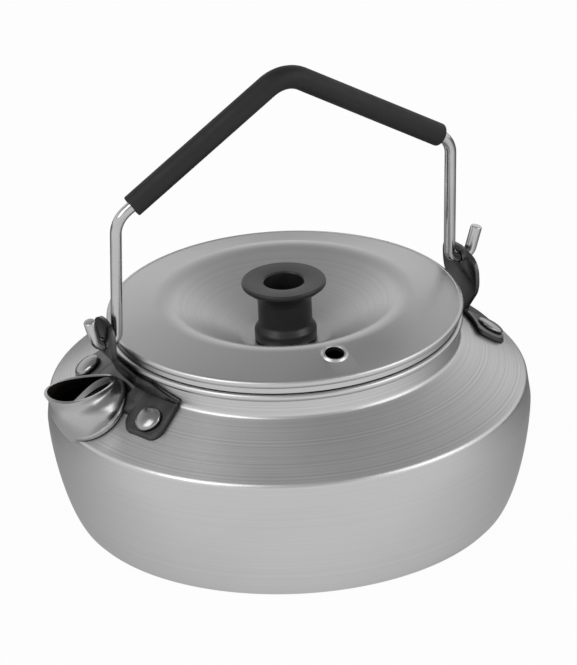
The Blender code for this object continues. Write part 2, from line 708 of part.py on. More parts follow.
def rivet_profile(dome_height):
    """Domed head, shank and flat tail of one rivet, from the dome's top down."""
    seat = touch_gap + lug_sheet + touch_gap
    tail = -body_wall - touch_gap
    edge_height = dome_height * rivet_dome_edge_share
    dome = [(rivet_dome_radius * math.sin(math.radians(a)),
             seat + edge_height + (dome_height - edge_height) * math.cos(math.radians(a)))
            for a in (0, 25, 50, 72, 90)]
    return dome + [(rivet_dome_radius, seat), (rivet_shank_radius, seat),
                   (rivet_shank_radius, tail), (rivet_tail_radius, tail),
                   (rivet_tail_radius, tail - rivet_tail_height), (0, tail - rivet_tail_height)]


def build_rivets(parts, finish):
    for name, matrix in rivet_places():
        height = front_rivet_dome_height if name.startswith("front") else rear_rivet_dome_height
        rivet = turned(name, rivet_profile(height), small_steps, parts, finish)
        rivet.matrix_world = matrix


def foot_ring(rear, front, half_width, lift):
    """A loop over the shoulder, an ellipse in plan, at a lift above the sheet."""
    centre = -(rear + front) / 2
    half_length = (front - rear) / 2
    loop = []
    for step in range(spout_steps):
        angle = 2 * math.pi * step / spout_steps
        x = centre + half_length * math.cos(angle)
        y = half_width * math.sin(angle)
        loop.append(Vector((x, y, rolled_shoulder_z(math.hypot(x, y), lift))))
    return loop


def rolled_shoulder_z(radius, lift):
    """Height of a surface that lies a lift above the shoulder and rolls over its outer edge."""
    centre_radius = shoulder_radius - shoulder_edge_round
    reach = shoulder_edge_round + max(lift, -shoulder_edge_round)
    centre_height = shoulder_z(centre_radius) - shoulder_edge_round / math.cos(shoulder_angle)
    if radius <= centre_radius + reach * math.sin(shoulder_angle):
        return shoulder_z(radius) + lift / math.cos(shoulder_angle)
    return centre_height + math.sqrt(max(reach ** 2 - (radius - centre_radius) ** 2, 0.0))


def mouth_ring():
    """The mouth's edge: egg-shaped in plan, its sides a little lower than tip and rear."""
    middle = -(spout_mouth_rear + spout_tip) / 2
    half_length = (spout_tip - spout_mouth_rear) / 2
    loop = []
    for step in range(spout_steps):
        angle = 2 * math.pi * step / spout_steps
        narrow = 1 + spout_mouth_egg * math.cos(angle)
        x = middle + half_length * math.cos(angle)
        y = spout_mouth_half_width * math.sin(angle) * narrow
        loop.append(Vector((x, y, spout_tip_height - spout_mouth_dip * math.sin(angle) ** 2)))
    return loop


def wall_ring(foot, mouth, share, swell):
    """A loop between foot and mouth, pushed out by a swell."""
    centre = sum(foot, Vector()) / len(foot)
    loop = []
    for low, high in zip(foot, mouth):
        place = low.lerp(high, share)
        out = Vector((place.x - centre.x, place.y, 0)).normalized()
        loop.append(place + out * swell)
    return loop


def loft(name, rings, collection, finish=None, capped=False):
    """A tube through closed loops that have the same number of points."""
    count = len(rings[0])
    points = [tuple(point) for ring in rings for point in ring]
    faces = []
    for level in range(len(rings) - 1):
        for step in range(count):
            after = (step + 1) % count
            faces.append((level * count + step, level * count + after,
                          (level + 1) * count + after, (level + 1) * count + step))
    if capped:
        top = (len(rings) - 1) * count
        faces.append(tuple(reversed(range(count))))
        faces.append(tuple(range(top, top + count)))
    mesh = bpy.data.meshes.new(name)
    mesh.from_pydata(points, [], faces)
    mesh.shade_smooth()
    return add_object(name, mesh, collection, finish)


def collar_plug(name, widen, low, high, cutters):
    """A solid oval plug through the shoulder, wider than the collar's middle by a given amount."""
    rings = [foot_ring(spout_collar_rear - widen, spout_collar_front + widen,
                       spout_collar_half_width + widen, lift)
             for lift in (low, high)]
    return as_cutter(loft(name, rings, cutters, capped=True))


def body_envelope(cutters):
    """The body's outside, larger by the touch gap, which trims what sits on it."""
    along = Vector((math.cos(shoulder_angle), -math.sin(shoulder_angle)))
    down = (Vector((body_radius, widest_height))
            - Vector((shoulder_radius, shoulder_height))).normalized()
    normals = [Vector((-way.y, way.x)) for way in (along, down)]
    spread = touch_gap / (1 + normals[0].dot(normals[1]))
    corner = Vector((shoulder_radius, shoulder_height)) + (normals[0] + normals[1]) * spread
    peak = shoulder_z(0) + touch_gap / math.cos(shoulder_angle)
    side = body_radius + touch_gap
    below = widest_height - shoulder_rise
    profile = rounded([(0, peak), tuple(corner), (side, widest_height), (side, below), (0, below)],
                      [0, shoulder_edge_round + touch_gap, 0, 0, 0], 6)
    return as_cutter(turned("body_envelope", profile, body_steps * 2, cutters))


def build_spout(parts, cutters, finish):
    """A pressed cup: wall, rolled foot bead, web and a collar through the body's hole."""
    lift = touch_gap + spout_sheet / 2
    foot = foot_ring(spout_foot_rear, spout_foot_front, spout_foot_half_width, lift)
    sunk = [point + Vector((spout_root_lean, 0, -1)) * root_depth for point in foot]
    mouth = mouth_ring()
    rings = [sunk, foot]
    for share, swell in ((0.35, spout_belly), (0.72, spout_belly - 2 * spout_waist),
                         (0.9, -spout_waist)):
        rings.append(wall_ring(foot, mouth, share, swell))
    rings.append(mouth)
    spout = loft("spout", rings, parts, finish)
    wall = spout.modifiers.new("wall", "SOLIDIFY")
    wall.thickness = spout_sheet
    wall.offset = 0
    wall.use_even_offset = True
    bead_loop = foot_ring(spout_foot_rear, spout_foot_front, spout_foot_half_width,
                          touch_gap + spout_foot_bead)
    bead = mesh_from(wire("spout_foot_bead", bead_loop, spout_foot_bead, cutters, closed=True),
                     cutters)
    boolean(spout, "UNION", as_cutter(bead))
    web = flange_ring("spout_web", neck_radius + touch_gap, shoulder_radius, cutters, spout_sheet)
    oval = [(point.x, point.y) for point in foot]
    boolean(web, "INTERSECT", z_prism("spout_web_shape", [oval], cutters))
    boolean(spout, "UNION", as_cutter(web))
    boolean(spout, "DIFFERENCE", body_envelope(cutters))
    half = spout_sheet / 2
    web_top = lift + half
    low = -body_wall - spout_collar_depth
    boolean(spout, "UNION", collar_plug("spout_collar", half, low, web_top - spout_overlap, cutters))
    boolean(spout, "DIFFERENCE", collar_plug("spout_bore", -half, low - cut_over,
                                             web_top + cut_over / 2, cutters))


def spout_hole(cutters):
    """The hole in the shoulder that the spout's collar passes through."""
    return collar_plug("spout_hole", spout_sheet / 2 + touch_gap, -body_wall - 2 * cut_over,
                       3 * cut_over, cutters)


def main():
    for item in list(bpy.data.objects):
        bpy.data.objects.remove(item)
    parts = bpy.data.collections.new("camping_coffee_pot")
    cutters = bpy.data.collections.new("cutters")
    bpy.context.scene.collection.children.link(parts)
    bpy.context.scene.collection.children.link(cutters)
    aluminium = material("satin_aluminium", (0.60, 0.60, 0.60), 1.0, 0.36)
    steel = material("stainless_steel", (0.42, 0.42, 0.42), 1.0, 0.25)
    lug_steel = material("dark_steel_sheet", (0.16, 0.16, 0.16), 1.0, 0.35)
    rivet_metal = material("bright_rivet", (0.70, 0.70, 0.70), 1.0, 0.18)
    rubber = material("black_rubber", (0.012, 0.012, 0.012), 0.0, 0.45)
    plastic = material("black_knob_plastic", (0.02, 0.02, 0.02), 0.0, 0.35)
    build_body(parts, cutters, aluminium)
    build_spout(parts, cutters, aluminium)
    build_front_lug(parts, cutters, lug_steel)
    build_rear_lug(parts, cutters, lug_steel)
    build_rivets(parts, rivet_metal)
    build_lid(parts, cutters, aluminium)
    build_knob(parts, plastic)
    build_knob_fixing(parts, steel)
    build_bail(parts, cutters, steel, rubber)


main()
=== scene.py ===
"""Looks of the camping coffee pot, built round its packed frame.

Finer meshes stand for the solids of the packed part, with procedural materials, a white studio
floor and the photograph's view. All lengths are in metres, in the frame of the packed part: +Z is
up, the spout points along -X and the side that faces the camera is -Y.
"""
from contextlib import contextmanager
import json
import math

import bpy
from mathutils import Matrix, Vector

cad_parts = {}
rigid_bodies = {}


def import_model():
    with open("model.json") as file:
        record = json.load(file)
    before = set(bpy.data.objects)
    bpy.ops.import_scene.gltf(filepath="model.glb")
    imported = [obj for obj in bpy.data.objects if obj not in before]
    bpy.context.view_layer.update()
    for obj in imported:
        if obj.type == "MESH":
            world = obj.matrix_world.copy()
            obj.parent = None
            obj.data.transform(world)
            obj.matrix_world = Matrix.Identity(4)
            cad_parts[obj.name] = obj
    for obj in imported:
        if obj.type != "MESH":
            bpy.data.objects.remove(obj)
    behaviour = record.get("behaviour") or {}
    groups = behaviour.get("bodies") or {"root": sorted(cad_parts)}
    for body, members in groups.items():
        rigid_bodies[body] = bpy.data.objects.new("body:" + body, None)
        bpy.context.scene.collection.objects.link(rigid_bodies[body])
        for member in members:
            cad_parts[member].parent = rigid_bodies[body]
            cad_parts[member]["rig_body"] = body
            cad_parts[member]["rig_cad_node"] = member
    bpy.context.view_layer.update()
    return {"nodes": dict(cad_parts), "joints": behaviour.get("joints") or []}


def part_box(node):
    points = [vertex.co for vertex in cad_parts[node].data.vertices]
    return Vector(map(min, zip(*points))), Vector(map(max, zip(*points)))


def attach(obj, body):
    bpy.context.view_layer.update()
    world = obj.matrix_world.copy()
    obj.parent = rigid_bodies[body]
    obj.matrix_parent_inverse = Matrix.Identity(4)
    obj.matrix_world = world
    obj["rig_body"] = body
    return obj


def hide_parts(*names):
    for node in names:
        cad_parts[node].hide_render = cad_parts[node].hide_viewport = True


bl_info = {
    "name": "Camping coffee pot",
    "version": (1, 0, 0),
    "blender": (4, 5, 0),
    "location": "3D View > Sidebar > Coffee Pot",
    "description": "Models the looks of a spun aluminium camp kettle round its packed frame",
    "category": "Add Mesh",
}

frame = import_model()

MM = 0.001
FULL_TURN = 2 * math.pi
WELD = 0.002 * MM               # vertices this close are one
SMOOTH_ANGLE = math.radians(35)
END_ANGLE = math.radians(60)    # edges sharper than this get rounded at ends and rims
NOISE_LOW, NOISE_HIGH = 0.3, 0.7        # between these lie nearly all values of a noise

# Fineness of the meshes
ROUND_STEPS = 256               # round the body and the lid
KNOB_STEPS = 128
SMALL_STEPS = 48
WIRE_SIDES = 32
BEND_STEPS = 14
CORNER_STEPS = 8
SLEEVE_BEND_STEPS = 24
BEAD_STEPS = 28
RIM_STEPS = 20
RIDGE_STEPS = 12
UNDER_STEPS = 6                 # at the corners of the lid's underside and of the vent's lip
DOME_STEPS = 12
SPOUT_STEPS = 128               # round the spout's foot and mouth


def linear(code):
    """A linear colour from an sRGB hex code."""
    values = [int(code[i:i + 2], 16) / 255 for i in (0, 2, 4)]
    return tuple(v / 12.92 if v <= 0.04045 else ((v + 0.055) / 1.055) ** 2.4 for v in values)


def length(description, millimetres):
    """A size property, given in millimetres; register names it after its identifier."""
    return bpy.props.FloatProperty(description=description, unit="LENGTH",
                                   default=millimetres * MM, precision=5)


def angle(description, degrees):
    """An angle property, given in degrees."""
    return bpy.props.FloatProperty(description=description, subtype="ANGLE",
                                   default=math.radians(degrees))


def number(description, value):
    """A plain number as a property."""
    return bpy.props.FloatProperty(description=description, default=value)


def colour(description, code):
    """A colour property, given as an sRGB hex code."""
    return bpy.props.FloatVectorProperty(description=description, subtype="COLOR",
                                         size=3, min=0.0, max=1.0, default=linear(code))


class PotBodySizes(bpy.types.PropertyGroup):
    """Sizes of the spun body."""

    radius: length("Of the widest circle of the side", 70.0)
    base_inset: length("Of the base's edge inside the widest circle", 8.3)
    widest_height: length("Of the widest circle above the base", 30.7)
    edge_inset: length("Of the shoulder's edge inside the widest circle", 0.8)
    edge_rise: length("From the widest circle to the shoulder's edge", 7.1)
    edge_round: length("Of the rolled shoulder edge", 2.3)
    shoulder_rise: length("From the shoulder's edge to the neck's foot", 12.8)
    neck_radius: length("Outside of the neck", 50.0)
    neck_fillet: length("Where the neck meets the shoulder", 2.0)
    neck_height: length("From the neck's foot to the middle of its bead", 6.0)
    bead: length("Of the rolled bead on the neck", 1.1)
    wall: length("Thickness of the spun sheet", 1.0)


class PotLidSizes(bpy.types.PropertyGroup):
    """Sizes of the lid and its vent."""

    radius: length("Outside of the rolled rim", 51.5)
    bead: length("Of the rolled rim", 1.2)
    rim_top: length("Top of the rolled rim above the base", 62.1)
    sheet: length("Thickness of the spun sheet", 0.8)
    rim_step: length("Of the sheet below the top of the rim", 0.2)
    ridge_setback: length("Of the ridge from the rim", 17.0)
    ridge_rise: length("Of the ridge above the rim", 3.8)
    ridge_round: length("Of the ridge round the bowl", 8.0)
    bowl_depth: length("From the ridge down to the bowl's floor", 14.0)
    floor_radius: length("Of the bowl's flat floor", 12.0)
    bowl_round: length("Where the bowl's side meets its floor", 6.0)
    skirt_gap: length("Between the skirt and the neck's inside", 0.6)
    skirt_depth: length("Below the seat on the neck", 8.0)
    seat_gap: length("Between the lid's seat and the neck's bead", 0.3)
    hole: length("In the middle of the bowl", 2.3)
    vent_radius: length("Of the vent hole", 2.8)
    vent_setback: length("Of the vent outside the ridge", 6.5)
    vent_lip: length("Width of the raised lip round the vent", 1.1)
    vent_angle: angle("Of the vent round the lid", -96.0)


class PotKnobSizes(bpy.types.PropertyGroup):
    """Sizes of the knob."""

    flange_radius: length("Of the knob's flange", 12.2)
    flange_edge: length("At the flange's edge", 1.3)
    dish: length("Of the top's middle below its edge", 0.3)
    top_round: length("Of the flange's upper edge", 0.5)
    under_round: length("Of the flange's lower edge", 0.5)
    flare_height: length("From the flange's edge to the stem", 3.6)
    flare_round: length("Under the flange", 3.0)
    height: length("Of the whole knob", 17.9)
    stem_radius: length("Of the stem", 7.8)
    base_radius: length("Of the foot", 9.0)
    base_height: length("Of the foot's upright edge", 3.0)
    base_chamfer: length("From the foot's edge to the stem", 2.0)
    base_round: length("Of the foot's corners", 1.5)
    foot_round: length("Of the foot's lower edge", 0.4)
    bore: length("Of the hollow in the knob", 5.85)
    bore_chamfer: length("Round the hollow's mouth", 0.4)
    floor: length("Thickness under the hollow", 3.8)


class PotBailSizes(bpy.types.PropertyGroup):
    """Sizes of the wire bail and its sleeve."""

    wire: length("Of the bail's wire", 1.7)
    leg: length("Of each leg from the pot's axis", 53.5)
    stub: length("Of each outer end's foot from the pot's axis", 59.8)
    corner_height: length("Of leg and gable above the pivot", 39.4)
    apex_height: length("Of the gable's sharp corner above the pivot", 74.6)
    corner_bend: length("Radius where the leg meets the gable", 8.0)
    apex_bend: length("Radius at the top of the gable", 10.0)
    hook_bend: length("Radius of the hook through the ear", 3.2)
    stub_length: length("Of the outer end above the pivot", 9.0)
    stub_lean: angle("Of the outer end, outwards", 16.0)
    lean: angle("Of the standing bail towards the front", 5.1)
    sleeve: length("Outside of the grip sleeve", 3.4)
    sleeve_wall: length("Of the grip sleeve", 1.4)
    sleeve_setback: length("Of the sleeve's ends from the corners", 5.2)
    sleeve_slide: length("How far the sleeve has crept backwards", 0.8)
    end_round: length("Of the edges at the wire's and sleeve's ends", 0.45)


class PotLugSizes(bpy.types.PropertyGroup):
    """Sizes of the lugs' sheet and their rivets."""

    sheet: length("Thickness of the lugs", 1.2)
    gap: length("Between a lug or spout and the shoulder", 0.3)
    edge_round: length("Of the lugs' cut edges", 0.28)
    band_gap: length("Between the front lug's sheet and the neck or the spout's bead", 0.4)
    web_reach: length("Of the sheet behind the spout, from the neck", 7.6)
    web_half_width: length("Of the sheet between the two flanges", 13.4)
    rivet_radius: length("Of a rivet's domed head", 4.0)
    shank: length("Of a rivet's shank", 2.0)
    front_dome: length("Height of the front rivets' heads", 1.8)
    rear_dome: length("Height of the rear rivets' heads", 1.0)
    tail_radius: length("Of a rivet's flat tail inside the body", 3.2)
    tail: length("Of a rivet's flat tail", 1.0)
    front_rivet_radius: length("Their distance from the pot's axis", 56.8)
    rear_rivet_radius: length("Their distance from the pot's axis", 60.6)
    front_rivet_angle: angle("Each side of the spout's direction", 20.6)
    rear_rivet_angle: angle("Each side of the rear direction", 10.5)


class PotSpoutSizes(bpy.types.PropertyGroup):
    """Sizes of the spout cup."""

    sheet: length("Thickness of the pressed cup", 1.0)
    foot_rear: length("Rear of the cup's foot, from the pot's axis", 53.7)
    foot_front: length("Front of the cup's foot, from the pot's axis", 70.0)
    foot_half_width: length("Of the cup's foot", 10.2)
    bead: length("Radius of the bead round the foot", 0.95)
    mouth_rear: length("Rear of the mouth, from the pot's axis", 54.4)
    tip: length("Of the lip, from the pot's axis", 76.0)
    tip_height: length("Of the lip above the base", 51.4)
    mouth_rise: length("Of the mouth's rear above its tip", 1.3)
    mouth_half_width: length("Of the mouth", 6.8)
    belly: length("How far the wall swells low down", 1.1)
    waist: length("How far the wall draws in under the lip", 0.4)
    collar_rear: length("Rear of the collar in the body's hole", 55.6)
    collar_front: length("Front of the collar in the body's hole", 65.6)
    collar_half_width: length("Of the collar", 8.3)
    collar_depth: length("How far the collar reaches below the sheet", 1.2)
    slit: length("Widest gap between the near wall and the strip inside it", 2.1)
    strip_reach: length("Of the strip's inner edge from the near wall", 5.0)
    strip_rise: length("Of the strip's inner edge above the wall", 0.5)
    strip_sheet: length("Thickness of the strip inside the mouth", 0.45)
    rim_round: length("Round of the mouth's and collar's cut edges", 0.35)


class PotColours(bpy.types.PropertyGroup):
    """Colours of the finishes."""

    aluminium: colour("Spun aluminium of body and lid", "C9C9C9")
    spout: colour("Pressed aluminium of the spout", "B2B2B2")
    # Partly painted shade: the lugs' grey is darkened further to stand for the shade that falls on
    # them between the spout and the neck.
    lug: colour("Dark sheet of the lugs", "555555")
    # Painted shade: the inside of the spout is coloured near-black for the dark of its hollow bore.
    stained: colour("Coffee-stained inside of the spout", "3A3734")
    rivet: colour("Rivet heads", "A0A0A0")
    wire: colour("Bright drawn wire", "C4C4C4")
    zinc: colour("Plated screw, washer and nut", "B9BBBD")
    rubber: colour("Soft black sleeve", "080808")
    plastic: colour("Black moulded knob", "202020")


def rounded(points, radii, steps=CORNER_STEPS):
    """An open 2-D outline whose corners are arcs; a radius of 0 keeps the corner sharp."""
    result = [tuple(points[0])]
    for before, here, after, radius in zip(points, points[1:], points[2:], radii[1:]):
        if radius <= 0:
            result.append(tuple(here))
            continue
        here = Vector(here)
        back = (Vector(before) - here).normalized()
        ahead = (Vector(after) - here).normalized()
        half = back.angle(ahead) / 2
        centre = here + (back + ahead).normalized() * (radius / math.sin(half))
        first = here + back * (radius / math.tan(half)) - centre
        last = here + ahead * (radius / math.tan(half)) - centre
        turn = math.atan2(first.x * last.y - first.y * last.x, first.dot(last))
        for step in range(steps + 1):
            share = turn * step / steps
            cos_a, sin_a = math.cos(share), math.sin(share)
            arm = Vector((first.x * cos_a - first.y * sin_a, first.x * sin_a + first.y * cos_a))
            result.append(tuple(centre + arm))
    result.append(tuple(points[-1]))
    return result


def arc(centre, radius, start, end, steps):
    """Points on a circle in 2-D, angles in degrees."""
    turns = [math.radians(start + (end - start) * step / steps) for step in range(steps + 1)]
    return [(centre[0] + radius * math.cos(a), centre[1] + radius * math.sin(a)) for a in turns]


def start(name, add, **settings):
    """Add a primitive with nothing else selected, and name it."""
    bpy.ops.object.select_all(action="DESELECT")
    add(**settings)
    piece = bpy.context.object
    piece.name = name
    piece.data.name = name
    return piece


def pick(piece):
    """Make a piece the only one selected."""
    bpy.ops.object.select_all(action="DESELECT")
    piece.select_set(True)
    bpy.context.view_layer.objects.active = piece


def settle(piece, matrix=None):
    """Place a piece, then move its place into its mesh."""
    pick(piece)
    if matrix is not None:
        piece.matrix_world = matrix
    bpy.ops.object.transform_apply(location=True, rotation=True, scale=True)
    return piece


@contextmanager
def editing(piece):
    """Edit mode on one piece, with all of it selected."""
    pick(piece)
    bpy.ops.object.mode_set(mode="EDIT")
    bpy.ops.mesh.select_all(action="SELECT")
    yield
    bpy.ops.object.mode_set(mode="OBJECT")


def face_outwards(piece):
    """Weld a piece and turn its faces outwards."""
    with editing(piece):
        bpy.ops.mesh.remove_doubles(threshold=WELD)
        bpy.ops.mesh.normals_make_consistent(inside=False)
    return piece


def modify(piece, kind, **settings):
    """Add a modifier with its settings and apply it."""
    pick(piece)
    modifier = piece.modifiers.new(kind.lower(), kind)
    for key, value in settings.items():
        setattr(modifier, key, value)
    bpy.ops.object.modifier_apply(modifier=modifier.name)


def combine(piece, operation, other):
    """Cut with, or join to, another piece, which is used up."""
    modify(piece, "BOOLEAN", operation=operation, solver="EXACT", object=other)
    bpy.data.objects.remove(other)


def extrude(x, z):
    """Extrude what is selected in the X-Z plane."""
    bpy.ops.mesh.extrude_region_move(TRANSFORM_OT_translate={"value": (x, 0, z)})


def lathe(name, outline, steps, closed=True):
    """Draw an outline of (radius, height) points from one vertex and spin it round Z."""
    first = (outline[0][0], 0.0, outline[0][1])
    piece = start(name, bpy.ops.mesh.primitive_plane_add, size=MM, location=first)
    path = outline + [outline[0]] if closed else outline
    with editing(settle(piece)):
        bpy.ops.mesh.merge(type="CENTER")
        for (radius, height), (next_radius, next_height) in zip(path, path[1:]):
            extrude(next_radius - radius, next_height - height)
        bpy.ops.mesh.select_all(action="SELECT")
        bpy.ops.mesh.spin(steps=steps, angle=FULL_TURN, center=(0, 0, 0), axis=(0, 0, 1))
    return face_outwards(piece)


def heading(way):
    """Turn about Y that points Z along a direction in the X-Z plane."""
    return math.atan2(way.x, way.y)


def bend_tube(name, radius, corners, bends, steps=BEND_STEPS):
    """A tube in the X-Z plane: straight runs are extruded and bends are spun."""
    corners = [Vector(corner) for corner in corners]
    way = (corners[1] - corners[0]).normalized()
    here = corners[0]
    piece = start(name, bpy.ops.mesh.primitive_circle_add, vertices=WIRE_SIDES, radius=radius,
                  location=(here.x, 0, here.y), rotation=(0, heading(way), 0))
    with editing(settle(piece)):
        for corner, after, bend in zip(corners[1:], corners[2:], bends[1:]):
            out = (after - corner).normalized()
            half = (-way).angle(out) / 2
            reach = bend / math.tan(half)
            centre = corner + (out - way).normalized() * (bend / math.sin(half))
            extrude(*(corner - way * reach - here))
            turn = math.remainder(heading(out) - heading(way), FULL_TURN)
            bpy.ops.mesh.spin(steps=steps, angle=-turn, center=(centre.x, 0, centre.y),
                              axis=(0, 1, 0))
            here = corner + out * reach
            way = out
        extrude(*(corners[-1] - here))
    return face_outwards(piece)


def cap_ends(piece):
    """Close the open ends of a tube."""
    with editing(piece):
        bpy.ops.mesh.fill_holes(sides=0)
        bpy.ops.mesh.normals_make_consistent(inside=False)


def round_ends(piece, width):
    """Round the edges at a wire's or a tube's ends."""
    modify(piece, "BEVEL", width=width, segments=4, limit_method="ANGLE", angle_limit=END_ANGLE)


def loft(name, rings, capped=False):
    """A tube through closed loops that have the same number of points."""
    count = len(rings[0])
    points = [tuple(point) for ring in rings for point in ring]
    faces = []
    for level in range(len(rings) - 1):
        for step in range(count):
            after = (step + 1) % count
            low, high = level * count, (level + 1) * count
            faces.append((low + step, low + after, high + after, high + step))
    if capped:
        top = (len(rings) - 1) * count
        faces.append(tuple(reversed(range(count))))
        faces.append(tuple(range(top, top + count)))
    mesh = bpy.data.meshes.new(name)
    mesh.from_pydata(points, [], faces)
    piece = bpy.data.objects.new(name, mesh)
    bpy.context.scene.collection.objects.link(piece)
    return piece


def complete(piece, finish, body, slot, *nodes):
    """Give a finished piece its material, unless it has some, and its place in the packed model."""
    pick(piece)
    if finish is not None:
        piece.data.materials.clear()
        piece.data.materials.append(finish)
    bpy.ops.object.shade_smooth_by_angle(angle=SMOOTH_ANGLE)
    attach(piece, body)
    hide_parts(*nodes)


def shoulder_z(sizes, radius):
    """Height of the shoulder's outer face at a distance from the axis."""
    slope = sizes.shoulder_rise / (sizes.radius - sizes.edge_inset - sizes.neck_radius)
    foot = sizes.widest_height + sizes.edge_rise + sizes.shoulder_rise
    return foot - (radius - sizes.neck_radius) * slope


def shoulder_angle(sizes):
    """Slope of the shoulder below the horizontal."""
    return math.atan2(sizes.shoulder_rise, sizes.radius - sizes.edge_inset - sizes.neck_radius)


def over_shoulder_z(sizes, radius, lift):
    """Height of a surface that lies a lift above the shoulder and rolls over its outer edge."""
    edge_radius = sizes.radius - sizes.edge_inset
    centre_radius = edge_radius - sizes.edge_round
    reach = sizes.edge_round + max(lift, -sizes.edge_round)
    slant = shoulder_angle(sizes)
    centre_height = shoulder_z(sizes, centre_radius) - sizes.edge_round / math.cos(slant)
    if radius <= centre_radius + reach * math.sin(slant):
        return shoulder_z(sizes, radius) + lift / math.cos(slant)
    return centre_height + math.sqrt(max(reach ** 2 - (radius - centre_radius) ** 2, 0.0))


def body_outline(sizes):
    """Section of the spun sheet: outside from the neck's bead to the base, then the inside."""
    side_steps = 40
    curve_power = 1.45          # 1 is a straight slope, 2 is an ellipse
    wall = sizes.wall
    base = sizes.radius - sizes.base_inset
    foot = shoulder_z(sizes, sizes.neck_radius)
    edge = (sizes.radius - sizes.edge_inset, sizes.widest_height + sizes.edge_rise)
    bead_height = foot + sizes.neck_height
    bead_centre = (sizes.neck_radius - wall + sizes.bead, bead_height)
    bead = arc(bead_centre, sizes.bead, 180, -85, BEAD_STEPS)
    outer = rounded([(sizes.neck_radius, bead_height - sizes.bead), (sizes.neck_radius, foot), edge,
                     (sizes.radius, sizes.widest_height)],
                    [0, sizes.neck_fillet, sizes.edge_round, 0])
    side = []
    for step in range(1, side_steps + 1):
        height = sizes.widest_height * math.cos(step / side_steps * math.pi / 2)
        share = 1 - (1 - height / sizes.widest_height) ** curve_power
        side.append((base + sizes.base_inset * share ** (1 / curve_power), height))
    slant = shoulder_angle(sizes)
    under = wall / math.cos(slant)
    inside = [(radius - wall, height) for radius, height in reversed(side) if height > 2 * wall]
    floor = rounded([(0.0, 0.0), (0.0, wall), (inside[0][0] - wall, wall), inside[0]],
                    [0, 0, wall, 0])
    inner_edge = edge[0] - wall
    shoulder = rounded([(sizes.radius - wall, sizes.widest_height),
                        (inner_edge, shoulder_z(sizes, inner_edge) - under),
                        (sizes.neck_radius - wall, foot - under + wall * math.tan(slant)),
                        bead[0]],
                       [0, wall, sizes.neck_fillet, 0])
    return bead + outer + side + floor[1:-1] + inside + shoulder[:-1]


class POT_OT_body(bpy.types.Operator):
    """Spin the body from one sheet and cut the spout's hole"""

    bl_idname = "pot.body"
    bl_label = "Body"

    def execute(self, context):
        sizes = context.scene.pot_body
        spout = context.scene.pot_spout
        piece = lathe("spun_body", body_outline(sizes), ROUND_STEPS)
        margin = spout.sheet / 2 + context.scene.pot_lug.gap
        half_length = (spout.collar_front - spout.collar_rear) / 2 + margin
        middle = -(spout.collar_front + spout.collar_rear) / 2
        low, high = sizes.widest_height + sizes.edge_rise / 2, shoulder_z(sizes, 0)
        drill = start("spout_drill", bpy.ops.mesh.primitive_cylinder_add, vertices=SMALL_STEPS,
                      radius=1.0, depth=high - low, location=(middle, 0, (high + low) / 2),
                      scale=(half_length, spout.collar_half_width + margin, 1.0))
        settle(drill)
        combine(piece, "DIFFERENCE", drill)
        complete(piece, spun_aluminium(context.scene.pot_colours), "pot", "spun_aluminium",
                 "body_shell")
        return {"FINISHED"}


def lid_outline(sizes, body):
    """Section of the lid: its top out to the rim, the seat and skirt, then the underside."""
    bead = (sizes.radius - sizes.bead, sizes.rim_top - sizes.bead)
    ridge = (sizes.radius - sizes.ridge_setback, sizes.rim_top + sizes.ridge_rise)
    floor = ridge[1] - sizes.bowl_depth
    rim = sizes.rim_top - sizes.rim_step
    seat = shoulder_z(body, body.neck_radius) + body.neck_height + body.bead + sizes.seat_gap
    seat_radius = body.neck_radius - body.wall + body.bead
    skirt = body.neck_radius - body.wall - sizes.skirt_gap
    bottom = seat - sizes.skirt_depth
    top = rounded([(sizes.hole, floor), (sizes.floor_radius, floor), ridge, (bead[0], rim)],
                  [0, sizes.bowl_round, sizes.ridge_round, 0], RIDGE_STEPS)
    rolled = arc(bead, sizes.bead, 80, -100, RIM_STEPS)
    slope = sizes.bowl_depth / (ridge[0] - sizes.floor_radius)
    drop = sizes.sheet / math.cos(math.atan(slope))
    cut_round, fold_round = 0.3 * MM, 0.5 * MM
    under = rounded([(seat_radius, bead[1] - sizes.bead), (seat_radius, seat), (skirt, seat),
                     (skirt, bottom), (skirt - sizes.sheet, bottom),
                     (skirt - sizes.sheet, rim - sizes.sheet), (ridge[0], ridge[1] - drop),
                     (sizes.floor_radius, floor - sizes.sheet), (sizes.hole, floor - sizes.sheet)],
                    [0, 0, cut_round, cut_round, cut_round, fold_round, sizes.ridge_round,
                     sizes.bowl_round, 0], UNDER_STEPS)
    return top + rolled + under


